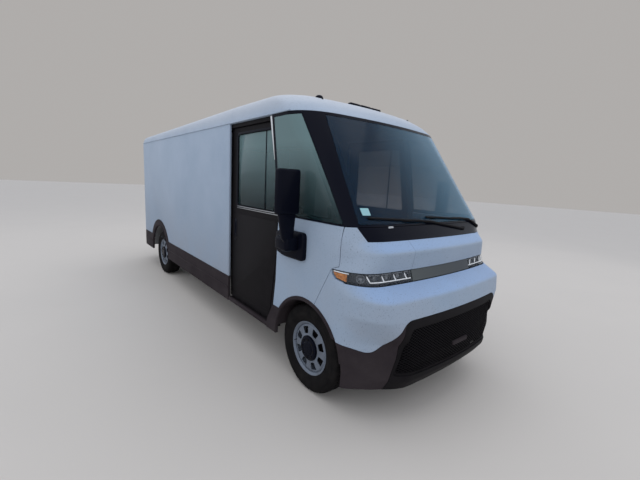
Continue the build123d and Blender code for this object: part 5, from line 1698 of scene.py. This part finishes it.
def make_wheel(end, name, side, station_y):
    """Steel wheel: rolled rim, dished disc with eight windows, nuts, valve, drum and a large black cap."""
    centre = (side * TRACK_HALF, station_y, TYRE_RADIUS)
    body = f"wheel_{end}_{name}_body"
    bm = to_side(wheel_disc(), side)
    for vert in bm.verts:
        vert.co += Vector(centre)
    whole = joined(bm, turned(RIM, centre, side, 128))
    piece(f"wheel_{end}_{name}", whole, "wheel_silver", body, [f"wheel_{end}_{name}"], angle=38)
    cap, ring = (turned(profile, centre, side, 72) for profile in (HUB_CAP, CAP_RING))
    piece(f"hub_cap_{end}_{name}", joined(cap, ring), "black_gloss", body, angle=30)
    spots = [(on_wheel(centre, side, 0.120, NUT_RING, 2 * pi * k / HOLES), (side, 0, 0)) for k in range(HOLES)]
    nut = bmesh.new()
    bmesh.ops.create_cone(nut, cap_ends=True, segments=6, radius1=0.0105, radius2=0.0095, depth=0.007)
    rows_of(f"wheel_nuts_{end}_{name}", nut, spots, "black_metal", body)
    valve = [on_wheel(centre, side, out, radius, 0.0) for out, radius in ((0.082, 0.2070), (0.112, 0.2110))]
    piece(f"valve_{end}_{name}", rod(*valve, 0.0035, 8), "rubber", body)
    inner = DRUM_INNER[end]
    drum = turned([(inner, 0.06), (0.050, 0.06), (0.050, 0.160), (0.045, 0.168), (inner, 0.168)], centre, side, 64)
    piece(f"brake_{end}_{name}", drum, "black_metal", body)


def make_wheels(segments):
    """All four wheels."""
    for side, name in SIDES:
        for end, station_y in (("front", at(0)), ("rear", REAR_AXLE)):
            make_tyre(end, name, side, station_y, segments)
            make_wheel(end, name, side, station_y)


# ------------------------------------------------------------------ wipers and mirrors
WIPER_RUNS = (
    ((-0.816, BELT + 0.066), (-0.040, BELT + 0.024), (0.480, BELT - 0.054)),
    ((-0.094, BELT + 0.062), (0.660, BELT + 0.030), (0.850, BELT - 0.048)),
)

BLADE_STEPS, RUBBER_RISE, BLADE_RISE = 24, 0.003, 0.011
# how far the arm stands off the skin from the blade's middle to the pivot
ARM_RISES = (0.011, 0.015, 0.014, 0.012)


def over_skin(x, z, rise):
    """Point in front of the skin at a place in the front view."""
    return Vector((x, skin_depth(x, z) - rise, z))


def make_wipers():
    """Two long wipers parked along the foot of the glass."""
    metal, rubber = [], []
    for tip, heel, pivot in WIPER_RUNS:
        start, reach = np.array(tip), np.array(heel) - np.array(tip)
        line = [tuple(start + reach * k / BLADE_STEPS) for k in range(BLADE_STEPS + 1)]
        rubber.append(tube([over_skin(x, z, RUBBER_RISE) for x, z in line], 0.0045, 6))
        metal.append(tube([over_skin(x, z + 0.002, BLADE_RISE) for x, z in line], 0.0095, 8))
        middle = line[BLADE_STEPS // 2]
        ends = [middle, ((middle[0] + heel[0]) / 2, (middle[1] + heel[1]) / 2 + 0.004), heel, pivot]
        arm = []
        for (x0, z0), (x1, z1), r0, r1 in zip(ends, ends[1:], ARM_RISES, ARM_RISES[1:]):
            for t in np.linspace(0, 1, 8, endpoint=False):
                arm.append(over_skin(x0 + (x1 - x0) * t, z0 + (z1 - z0) * t, r0 + (r1 - r0) * t))
        arm.append(over_skin(*pivot, ARM_RISES[-1]))
        metal.append(tube(arm, 0.0110, 8))
        metal.append(rod(over_skin(*pivot, -0.010), over_skin(*pivot, 0.0135), 0.019, 24))
        metal.append(rod(over_skin(*pivot, 0.010), over_skin(*pivot, 0.0140), 0.010, 6))
    piece("wipers", joined(*metal), "black_metal", BODY, ["wipers"])
    piece("wiper_rubbers", joined(*rubber), "rubber", BODY)


MIRROR_IN, MIRROR_OUT = HALF + 0.034, HALF + 0.267
MIRROR_FRONT, MIRROR_REAR, MIRROR_LOW, MIRROR_HIGH = at(0.075), at(0.145), 1.623, 2.001
PLATE_LOW, PLATE_HIGH, PLATE_PROUD = 1.220, 1.470, 0.042


def mirror_head():
    """Shell of a mirror head, a little narrower in front."""
    bm = brick((MIRROR_IN, MIRROR_FRONT, MIRROR_LOW), (MIRROR_OUT, MIRROR_REAR, MIRROR_HIGH))
    for vert in bm.verts:
        if vert.co.y < MIRROR_FRONT + 0.01:
            vert.co.x += 0.006 if vert.co.x < MIRROR_IN + 0.01 else -0.014
    return softened(bm, 0.024, 6)


def mirror_arm():
    """Arm that tapers from the head down to the bracket on the plate."""
    front, rear = at(0.088), at(0.134)
    outline = rounded([
        (HALF + 0.088, 1.385), (HALF + 0.160, 1.372), (HALF + 0.196, 1.420),
        (HALF + 0.236, MIRROR_LOW + 0.012), (HALF + 0.068, MIRROR_LOW + 0.012), (HALF + 0.084, 1.450),
    ], 0.022)
    return softened(prism([(x, front, z) for x, z in outline], (0, rear - front, 0)), 0.012, 3, 40)


def mirror_base():
    """Base plate on the body with the bracket that carries the arm."""
    outline = rounded([
        (at(0.013), PLATE_LOW), (at(0.300), PLATE_LOW + 0.004), (at(0.454), PLATE_LOW + 0.028),
        (at(0.454), PLATE_HIGH - 0.032), (at(0.300), PLATE_HIGH - 0.002), (at(0.013), PLATE_HIGH),
    ], 0.05)
    bracket = brick((HALF + 0.025, at(0.080), 1.305), (HALF + 0.172, at(0.265), 1.428), 0.030, 4)
    return joined(flat_side(outline, HALF + PLATE_PROUD, PLATE_PROUD - 0.002, (), 0.014), bracket)


def mirror_glass():
    """Flat glass above and a small wide-angle glass below."""
    faces = ((MIRROR_LOW + 0.120, MIRROR_HIGH - 0.020), (MIRROR_LOW + 0.020, MIRROR_LOW + 0.105))
    return joined(*[
        brick((MIRROR_IN + 0.014, MIRROR_REAR - 0.004, low), (MIRROR_OUT - 0.014, MIRROR_REAR + 0.0005, high), 0.001)
        for low, high in faces
    ])


def mirror_whole():
    """One mirror without its glass."""
    return joined(mirror_head(), mirror_arm(), mirror_base())


def make_mirrors():
    """Tall glossy mirror heads on their arms and base plates."""
    piece("mirrors", both_sides(mirror_whole), "black_gloss", BODY, ["mirrors"])
    piece("mirror_glasses", both_sides(mirror_glass), "mirror_face", BODY)


# ------------------------------------------------------------------ cabin
SEAT_X, SEAT_HALF = HALF - 0.603, 0.235
SEAT_FRONT, SEAT_REAR = at(0.700), at(1.200)
CUSHION_LOW, CUSHION_HIGH, BACK_HIGH, BACK_LEAN, BACK_THICK = 0.990, 1.110, 1.790, 0.110, 0.110


VOXEL, FRAMES, KEPT_SHARE = 0.0055, 20, 0.30
SEAM_RADIUS = 0.0035
HEADREST_HALF, POST_SHIFT, POST_LOW, POST_HIGH = 0.132, 0.05, 1.590, 1.665
FOAM_BEVEL = 0.034


def lean_at(z):
    """How far a seat back leans rearwards at a height."""
    return BACK_LEAN * (z - CUSHION_HIGH) / (BACK_HIGH - CUSHION_HIGH)


def baked(obj):
    """The plain mesh of an object with its modifiers applied."""
    return bpy.data.meshes.new_from_object(obj.evaluated_get(bpy.context.evaluated_depsgraph_get()))


def places(mesh):
    """The points of a mesh as rows."""
    flat = np.empty(len(mesh.vertices) * 3)
    mesh.vertices.foreach_get("co", flat)
    return flat.reshape(-1, 3)


def blow_out(obj, pressure, limit):
    """Remeshes a foam block evenly, swells its cover with cloth pressure and smooths the result."""
    scene = bpy.context.scene
    remesh = obj.modifiers.new("even", "REMESH")
    remesh.mode, remesh.voxel_size = "VOXEL", VOXEL
    even = baked(obj)
    obj.modifiers.remove(remesh)
    obj.data = even
    rest = places(even)
    cloth = obj.modifiers.new("cover", "CLOTH")
    cloth.settings.use_pressure = True
    cloth.settings.uniform_pressure_force = pressure
    cloth.settings.effector_weights.gravity = 0.0
    cloth.point_cache.frame_start, cloth.point_cache.frame_end = 1, FRAMES
    for frame_number in range(1, FRAMES + 1):
        scene.frame_set(frame_number)
    blown = baked(obj)
    obj.modifiers.remove(cloth)
    scene.frame_set(1)
    shift = places(blown) - rest
    length = np.linalg.norm(shift, axis=1, keepdims=True)
    shift *= np.minimum(1.0, limit / np.maximum(length, 1e-9))
    blown.vertices.foreach_set("co", (rest + shift).ravel())
    obj.data = blown
    fewer = obj.modifiers.new("fewer", "DECIMATE")
    fewer.ratio = KEPT_SHARE
    finer = obj.modifiers.new("finer", "SUBSURF")
    finer.levels = finer.render_levels = 1
    obj.data = baked(obj)
    obj.modifiers.clear()


def stuffed(name, bm, node, pressure, limit):
    """A padded piece: foam block, swollen cover and cloth finish."""
    start = bpy.data.meshes.new(name)
    bm.to_mesh(start)
    bm.free()
    obj = bpy.data.objects.new(name + "_foam", start)
    bpy.context.scene.collection.objects.link(obj)
    blow_out(obj, pressure, limit)
    made = bmesh.new()
    made.from_mesh(obj.data)
    bpy.data.objects.remove(obj)
    finished = piece(name, made, "seat_fabric", BODY, [node], angle=60)


def seat_seams(middle):
    """Stitched piping round the cushion top, the back and the headrest of one seat."""
    wide, top = SEAT_HALF - 0.030, CUSHION_HIGH + 0.003
    front, rear = SEAT_FRONT + 0.040, SEAT_REAR - 0.110
    cushion = rounded(rectangle(middle - wide, front, middle + wide, rear), 0.05)
    low, high, face = CUSHION_HIGH - 0.02, BACK_HIGH - 0.205, SEAT_REAR - BACK_THICK + 0.004
    back = rounded(rectangle(middle - wide, low, middle + wide, high), 0.05)
    cross = [(middle - wide + 2 * wide * t, CUSHION_HIGH + 0.30) for t in np.linspace(0, 1, 12)]
    return [
        tube([(x, y, top) for x, y in cushion], SEAM_RADIUS, 6, closed=True),
        tube([(x, face + lean_at(z), z) for x, z in back], SEAM_RADIUS, 6, closed=True),
        tube([(x, face + lean_at(z), z) for x, z in cross], SEAM_RADIUS, 6),
    ]


def make_seats(pressure, limit):
    """Two driver-grade seats with stitched edges, headrests and pedestals."""
    cushions, backs, posts, shells, seams = [], [], [], [], []
    for side in (1, -1):
        middle = side * SEAT_X
        cushions.append(brick(
            (middle - SEAT_HALF + 0.014, SEAT_FRONT + 0.014, CUSHION_LOW + 0.012),
            (middle + SEAT_HALF - 0.014, SEAT_REAR - 0.080, CUSHION_HIGH - 0.012), FOAM_BEVEL, 4,
        ))
        back = brick(
            (middle - SEAT_HALF + 0.018, SEAT_REAR - BACK_THICK + 0.014, CUSHION_HIGH - 0.055),
            (middle + SEAT_HALF - 0.018, SEAT_REAR - 0.018, BACK_HIGH - 0.180), FOAM_BEVEL, 4,
        )
        rest = brick(
            (middle - HEADREST_HALF, SEAT_REAR - BACK_THICK + 0.018, BACK_HIGH - 0.148),
            (middle + HEADREST_HALF, SEAT_REAR - 0.024, BACK_HIGH - 0.012), 0.030, 4,
        )
        for part in (back, rest):
            for vert in part.verts:
                vert.co.y += lean_at(vert.co.z)
        backs += [back, rest]
        seams += seat_seams(middle)
        y = SEAT_REAR - BACK_THICK / 2
        for x in (middle - POST_SHIFT, middle + POST_SHIFT):
            posts.append(rod((x, y + lean_at(1.60), POST_LOW), (x, y + lean_at(1.66), POST_HIGH), 0.006, 10))
        shells.append(brick(
            (middle - SEAT_HALF + 0.005, SEAT_FRONT + 0.03, CUSHION_LOW - 0.012),
            (middle + SEAT_HALF - 0.005, SEAT_REAR - 0.02, CUSHION_LOW + 0.016), 0.008,
        ))
        for edge in (middle - SEAT_HALF + 0.005, middle + SEAT_HALF - 0.005):
            shells.append(brick(
                (edge - 0.009, SEAT_REAR - 0.16, CUSHION_LOW - 0.01),
                (edge + 0.009, SEAT_REAR - 0.01, CUSHION_HIGH + 0.02), 0.006,
            ))
    stuffed("seat_cushions", joined(*cushions), "seat_cushions", pressure, limit)
    stuffed("seat_backs", joined(*backs), "seat_backs", pressure, limit)
    piece("seat_seams", joined(*seams), "rubber", BODY)
    piece("headrest_posts", joined(*posts), "chrome", BODY)
    piece("seat_shells", joined(*shells), "cabin_plastic", BODY)
    piece("seat_pedestals", cad_copy("seat_pedestals", 0.008), "black_metal", BODY, ["seat_pedestals"])


# bricks of the dashboard: near corner, far corner, bevel, bevel steps
DASH_HOOD = ((SEAT_X - 0.18, at(-0.16), 1.430), (SEAT_X + 0.18, at(0.03), 1.502), 0.018, 3)
DASH_LEDGE = ((-0.62, at(-0.02), 1.432), (-0.32, at(0.02), 1.445), 0.006, 2)
DRIVER_SCREEN = ((SEAT_X - 0.145, at(0.026), 1.405), (SEAT_X + 0.145, at(0.036), 1.482), 0.004, 2)
MIDDLE_SCREEN = ((-0.14, at(0.036), 1.230), (0.14, at(0.060), 1.412), 0.010, 3)
VENTS, VENT_HALF, VENT_LOW = (-0.78, -0.30, 0.245, 0.80), 0.055, 1.300
VENT_SLATS, VENT_PITCH, SLAT_HIGH = 5, 0.013, 0.005
WHEEL_TILT, WHEEL_RING = radians(50.0), 0.213
SPOKES = (((-0.045, 0), (-0.205, 0.01)), ((0.045, 0), (0.205, 0.01)), ((0, -0.045), (0, -0.205)))


def make_dash():
    """Dashboard with its hood, two screens, vents and a ledge."""
    piece("dashboard", cad_copy("dashboard", 0.010, 3), "cabin_plastic", BODY, ["dashboard"])
    bits = [brick(*DASH_HOOD)]
    for x in VENTS:
        for k in range(VENT_SLATS):
            z = VENT_LOW + VENT_PITCH * k
            bits.append(brick((x - VENT_HALF, at(0.034), z), (x + VENT_HALF, at(0.052), z + SLAT_HIGH), 0.0015))
    bits.append(brick(*DASH_LEDGE))
    piece("dash_details", joined(*bits), "cabin_plastic", BODY)
    piece("dash_screens", joined(brick(*DRIVER_SCREEN), brick(*MIDDLE_SCREEN)), "black_gloss", BODY)


def make_steering_wheel():
    """Three-spoke steering wheel with a padded rim."""
    centre = Vector((SEAT_X, at(0.330), 1.360))
    normal = Vector((0, sin(WHEEL_TILT), cos(WHEEL_TILT)))
    across, up = Vector((1, 0, 0)), Vector((0, -cos(WHEEL_TILT), sin(WHEEL_TILT)))

    def spot(x, y, z=0.0):
        """Place counted on the tilted plane of the wheel."""
        return centre + across * x + up * y + normal * z

    ring = [spot(WHEEL_RING * cos(a), WHEEL_RING * sin(a)) for a in np.linspace(0, 2 * pi, 72, endpoint=False)]
    rim = tube(ring, 0.0155, 14, closed=True)
    hub = rod(spot(0, 0, -0.035), spot(0, 0, 0.006), 0.055, 40)
    softened(hub, 0.008, 3)
    spokes = []
    for start, end in SPOKES:
        line = []
        for t in (0, 0.3, 0.7, 1):
            x, y = (a + (b - a) * t for a, b in zip(start, end))
            line.append(spot(x, y, -0.016 * (1 - t)))
        spokes.append(tube(line, 0.011, 8))
    pad = brick((-0.07, -0.045, -0.004), (0.07, 0.05, 0.012), 0.010, 3)
    for vert in pad.verts:
        vert.co = spot(*vert.co)
    bmesh.ops.recalc_face_normals(pad, faces=pad.faces)
    whole = joined(rim, hub, *spokes, pad)
    piece("steering_wheel", whole, "cabin_plastic", "steering_wheel_body", ["steering_wheel"], angle=40)


# ------------------------------------------------------------------ rear end
REAR_COPIES = (
    ("rear_frame", 0.006, "white_paint"), ("rollup_door", 0.004, "door_aluminium"),
    ("tail_lamps", 0.003, "tail_red"), ("rear_bumper", 0.006, "black_metal"),
)
TREAD_START, TREAD_PITCH, TREAD_WIDE = -0.84, 0.21, 0.19
PLATE_HALF, BRAKE_LAMP_HALF = 0.27, 0.235


def make_rear():
    """Rear frame, slatted roll-up door, lamps, step treads and bare plate place."""
    for node, bevel, material in REAR_COPIES:
        piece(node, cad_copy(node, bevel), material, BODY, [node])
    low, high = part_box("rear_bumper")
    treads = []
    for k in range(8):
        x = TREAD_START + TREAD_PITCH * k
        near, far = (x, BODY_REAR + 0.02, high.z - 0.001), (x + TREAD_WIDE, high.y - 0.02, high.z + 0.004)
        treads.append(brick(near, far, 0.002))
    piece("step_treads", joined(*treads), "step_rubber", BODY)
    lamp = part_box("tail_lamps")[1]
    clear = []
    for side in (1, -1):
        middle = side * (lamp.x - 0.026)
        clear.append(brick((middle - 0.019, lamp.y - 0.004, 1.060), (middle + 0.019, lamp.y + 0.0015, 1.140), 0.003))
    # The bar finish paints its highlight by X, so the right reverse lamp is painted lighter than the left.
    piece("reverse_lamps", joined(*clear), "light_bar", BODY)
    plate = brick((-PLATE_HALF, high.y - 0.001, low.z + 0.012), (PLATE_HALF, high.y + 0.001, high.z - 0.012), 0.001)
    piece("plate_place", plate, "dark_plastic", BODY)
    near = (-BRAKE_LAMP_HALF, BODY_REAR - 0.008, GUTTER - 0.060)
    far = (BRAKE_LAMP_HALF, BODY_REAR + 0.006, GUTTER - 0.035)
    piece("high_brake_lamp", brick(near, far, 0.004), "tail_red", BODY)


MARKER_Y, MARKER_STARTS, MARKER_WIDE = at(0.440), (-0.235, -0.075, 0.085), 0.150
BUTTON_X, BUTTON_AHEAD, DOME_X, DOME_FLAT = 0.655, 0.070, -0.639, 0.75


def over_brow(x, ahead=0.0):
    """Height of the brow at a marker lamp's place across the roof."""
    return float(brow_height(np.array([abs(x)]), np.array([MARKER_Y - ahead]))[0])


def make_markers():
    """Marker lamps on the brow: a low bar of three, one dome and a small button by each edge."""
    parts = []
    for x in (-BUTTON_X, BUTTON_X):
        button = bmesh.new()
        bmesh.ops.create_uvsphere(button, u_segments=16, v_segments=8, radius=0.010)
        shift = Vector((x, MARKER_Y - BUTTON_AHEAD, over_brow(x, BUTTON_AHEAD) - 0.002))
        for vert in button.verts:
            vert.co += shift
        parts.append(button)
    for start in MARKER_STARTS:
        rise = over_brow(start + MARKER_WIDE / 2)
        near, far = (start, MARKER_Y - 0.020, rise - 0.012), (start + MARKER_WIDE, MARKER_Y + 0.030, rise + 0.018)
        parts.append(brick(near, far, 0.010, 3))
    dome = bmesh.new()
    bmesh.ops.create_uvsphere(dome, u_segments=32, v_segments=16, radius=0.040)
    foot = over_brow(DOME_X) - 0.004
    for vert in dome.verts:
        vert.co = Vector((DOME_X + vert.co.x, MARKER_Y + vert.co.y, foot + vert.co.z * DOME_FLAT))
    parts.append(dome)
    piece("roof_markers", joined(*parts), "black_gloss", BODY, ["roof_markers"])


def dress_frame():
    """Finishes for the CAD pieces that stay as they are."""
    for record in frame["record"]["subparts"]:
        node = frame["nodes"][record["node"]]
        slot = record["material_slot"]
        # Frame glass takes the side glass with its painted reflection, and frame bars the bar finish with its painted
        # highlight.
        name = {"glass": "side_glass", "lamp_lens": "lens", "lamp_bar": "light_bar"}.get(slot, slot)
        node.data.materials.clear()
        node.data.materials.append(finish(name))


# ------------------------------------------------------------------ stage
CAMERA, LENS = Vector((-2.775, -4.9178, 1.8988)), 19.06
YAW, PITCH, ROLL = radians(39.76), radians(-9.53), radians(3.11)
FLOOR_HALF = 60.0
SKY, BACKDROP = (0.83, 0.87, 0.95, 1.0), (0.430, 0.415, 0.405, 1.0)
# name, place, aim, size and power at full level
LAMPS = (
    ("key", (-7.0, -10.0, 8.0), (0, -1.5, 1.2), 10.0, 700.0),
    ("side", (-10.0, 3.0, 7.0), (0, 0.5, 1.3), 10.0, 500.0),
    ("top", (0.0, 0.0, 10.0), (0, 0, 0), 12.0, 1500.0),
    ("far", (9.0, -4.0, 6.0), (0, 0, 1.5), 8.0, 300.0),
)


def stage_lamps(level):
    """Large soft lamps round the van."""
    lamps = []
    for name, place, aim, size, power in LAMPS:
        data = bpy.data.lights.new(name, "AREA")
        data.shape, data.size, data.energy = "SQUARE", size, power * level
        lamp = bpy.data.objects.new(name, data)
        lamp.location = place
        lamp.rotation_euler = (Vector(aim) - Vector(place)).to_track_quat("-Z", "Y").to_euler()
        lamps.append(lamp)
    return lamps


def stage_world(sky):
    """Light from all round, with a plain backdrop where the camera looks past the floor."""
    world = bpy.data.worlds.new("studio")
    world.use_nodes = True
    nodes, links = world.node_tree.nodes, world.node_tree.links
    nodes.clear()
    output = nodes.new("ShaderNodeOutputWorld")
    mix = nodes.new("ShaderNodeMixShader")
    light_path = nodes.new("ShaderNodeLightPath")
    links.new(light_path.outputs["Is Camera Ray"], mix.inputs[0])
    for place, colour, strength in ((1, SKY, sky), (2, BACKDROP, 1.0)):
        background = nodes.new("ShaderNodeBackground")
        background.inputs["Color"].default_value = colour
        background.inputs["Strength"].default_value = strength
        links.new(background.outputs[0], mix.inputs[place])
    links.new(mix.outputs[0], output.inputs["Surface"])
    return world


def stage_camera():
    """Camera before the right front corner of the van, a little rolled."""
    forward = Vector((sin(YAW) * cos(PITCH), cos(YAW) * cos(PITCH), sin(PITCH)))
    right = Vector((cos(YAW), -sin(YAW), 0.0))
    up = right.cross(forward)
    side = right * cos(ROLL) + up * sin(ROLL)
    upright = up * cos(ROLL) - right * sin(ROLL)
    lens = bpy.data.cameras.new("camera")
    lens.lens, lens.sensor_width = LENS, 36.0
    camera = bpy.data.objects.new("camera", lens)
    camera.matrix_world = Matrix.Translation(CAMERA) @ Matrix((side, upright, -forward)).transposed().to_4x4()
    return camera


def make_stage(level, sky):
    """Pale floor, soft lamps, pale world and the camera."""
    scene = bpy.context.scene
    ground = bpy.data.meshes.new("floor")
    corners = [(x, y, 0) for x, y in rectangle(-FLOOR_HALF, -FLOOR_HALF, FLOOR_HALF, FLOOR_HALF)]
    ground.from_pydata(corners, [], [(0, 1, 2, 3)])
    ground.materials.append(stage_floor())
    floor, lamps, camera = bpy.data.objects.new("floor", ground), stage_lamps(level), stage_camera()
    for obj in (floor, *lamps, camera):
        scene.collection.objects.link(obj)
    scene.world = stage_world(sky)
    scene.view_settings.view_transform = "Standard"
    scene.camera = camera


def stage_floor():
    """Pale matte studio floor."""
    s = Shader("studio_floor")
    s.set(
        Base_Color=s.blend(s.noise(0.8, 2.0), (0.565, 0.534, 0.500, 1.0), (0.590, 0.557, 0.520, 1.0)),
        Roughness=0.85 + s.noise(2.0) * 0.05, Specular_IOR_Level=0.1,
    )
    return s.material


# ------------------------------------------------------------------ settings, operators and panel
class VanSettings(bpy.types.PropertyGroup):
    """Sizes the builder may change before a rebuild."""

    grille_pitch: FloatVectorProperty(
        name="Grille Pitch", description="Width and height of one diamond of the grille",
        default=(0.036, 0.023), size=2, unit="LENGTH",
    )
    grille_wire: FloatProperty(
        name="Grille Wire", description="Radius of the grille bars", default=0.0024, unit="LENGTH",
    )
    tyre_segments: IntProperty(name="Tyre Segments", description="Steps round a tyre", default=240, min=80)
    seat_pressure: FloatProperty(
        name="Seat Pressure", description="How hard the seat foam fills its cover", default=4.0,
    )
    seat_limit: FloatProperty(
        name="Seat Swell", description="Most the seat cover may move", default=0.024, unit="LENGTH",
    )
    light_level: FloatProperty(
        name="Light Level", description="Strength of the studio lamps", default=0.15, subtype="FACTOR",
    )
    sky_level: FloatProperty(
        name="Sky Level", description="Strength of the light from all round", default=0.96, subtype="FACTOR",
    )


class VAN_OT_frame(bpy.types.Operator):
    """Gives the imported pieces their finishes."""

    bl_idname = "van.frame"
    bl_label = "Finish Frame"

    def execute(self, context):
        dress_frame()
        return {"FINISHED"}


class VAN_OT_nose(bpy.types.Operator):
    """Builds the hood, cowl, fascia, bumper and cab sides."""

    bl_idname = "van.nose"
    bl_label = "Nose"

    def execute(self, context):
        make_hood()
        make_cowl()
        make_fascia()
        make_bumper()
        make_cab_sides()
        return {"FINISHED"}


class VAN_OT_grille(bpy.types.Operator):
    """Builds the grille mesh, its rim and the bare bar."""

    bl_idname = "van.grille"
    bl_label = "Grille"

    def execute(self, context):
        settings = context.scene.van_settings
        make_grille(*settings.grille_pitch, settings.grille_wire)
        return {"FINISHED"}


class VAN_OT_lamps(bpy.types.Operator):
    """Builds the headlamps and the light bar."""

    bl_idname = "van.lamps"
    bl_label = "Lamps"

    def execute(self, context):
        make_lamps()
        return {"FINISHED"}


class VAN_OT_glazing(bpy.types.Operator):
    """Builds the windshield, pillars and quarter glass."""

    bl_idname = "van.glazing"
    bl_label = "Glazing"

    def execute(self, context):
        make_glazing()
        return {"FINISHED"}


class VAN_OT_roof(bpy.types.Operator):
    """Builds the cab and cargo roofs and their marker lamps."""

    bl_idname = "van.roof"
    bl_label = "Roof"

    def execute(self, context):
        make_roofs()
        make_markers()
        return {"FINISHED"}


class VAN_OT_sides(bpy.types.Operator):
    """Builds the side panels and the cladding."""

    bl_idname = "van.sides"
    bl_label = "Body Sides"

    def execute(self, context):
        make_panels()
        make_cladding()
        return {"FINISHED"}


class VAN_OT_doors(bpy.types.Operator):
    """Builds the sliding doors."""

    bl_idname = "van.doors"
    bl_label = "Side Doors"

    def execute(self, context):
        make_doors()
        return {"FINISHED"}


class VAN_OT_wheels(bpy.types.Operator):
    """Builds the wheels and tyres."""

    bl_idname = "van.wheels"
    bl_label = "Wheels"

    def execute(self, context):
        settings = context.scene.van_settings
        make_wheels(settings.tyre_segments)
        return {"FINISHED"}


class VAN_OT_fittings(bpy.types.Operator):
    """Builds the wipers and the mirrors."""

    bl_idname = "van.fittings"
    bl_label = "Wipers and Mirrors"

    def execute(self, context):
        make_wipers()
        make_mirrors()
        return {"FINISHED"}


class VAN_OT_cabin(bpy.types.Operator):
    """Builds the dashboard and the steering wheel."""

    bl_idname = "van.cabin"
    bl_label = "Cabin"

    def execute(self, context):
        make_dash()
        make_steering_wheel()
        return {"FINISHED"}


class VAN_OT_seats(bpy.types.Operator):
    """Builds the padded seats."""

    bl_idname = "van.seats"
    bl_label = "Seats"

    def execute(self, context):
        settings = context.scene.van_settings
        make_seats(settings.seat_pressure, settings.seat_limit)
        return {"FINISHED"}


class VAN_OT_rear(bpy.types.Operator):
    """Builds the rear frame, door, lamps and step."""

    bl_idname = "van.rear"
    bl_label = "Rear End"

    def execute(self, context):
        make_rear()
        return {"FINISHED"}


class VAN_OT_stage(bpy.types.Operator):
    """Builds the floor, lights and camera."""

    bl_idname = "van.stage"
    bl_label = "Stage"

    def execute(self, context):
        settings = context.scene.van_settings
        make_stage(settings.light_level, settings.sky_level)
        return {"FINISHED"}


STEPS = (
    VAN_OT_frame,
    VAN_OT_nose,
    VAN_OT_grille,
    VAN_OT_lamps,
    VAN_OT_glazing,
    VAN_OT_roof,
    VAN_OT_sides,
    VAN_OT_doors,
    VAN_OT_wheels,
    VAN_OT_fittings,
    VAN_OT_cabin,
    VAN_OT_seats,
    VAN_OT_rear,
    VAN_OT_stage,
)


class VAN_PT_panel(bpy.types.Panel):
    """Lists the builders of the van in the sidebar."""

    bl_label = "Delivery Van"
    bl_space_type = "VIEW_3D"
    bl_region_type = "UI"
    bl_category = "Van"

    def draw(self, context):
        column = self.layout.column()
        for entry in VanSettings.__annotations__:
            column.prop(context.scene.van_settings, entry)
        for operator in STEPS:
            column.operator(operator.bl_idname)


CLASSES = (VanSettings, *STEPS, VAN_PT_panel)


def register():
    for item in CLASSES:
        bpy.utils.register_class(item)
    bpy.types.Scene.van_settings = PointerProperty(type=VanSettings)


def unregister():
    del bpy.types.Scene.van_settings
    for item in reversed(CLASSES):
        bpy.utils.unregister_class(item)


def main():
    """Builds the whole van in order."""
    register()
    for operator in STEPS:
        group, name = operator.bl_idname.split(".")
        getattr(getattr(bpy.ops, group), name)()


if __name__ == "__main__":
    main()
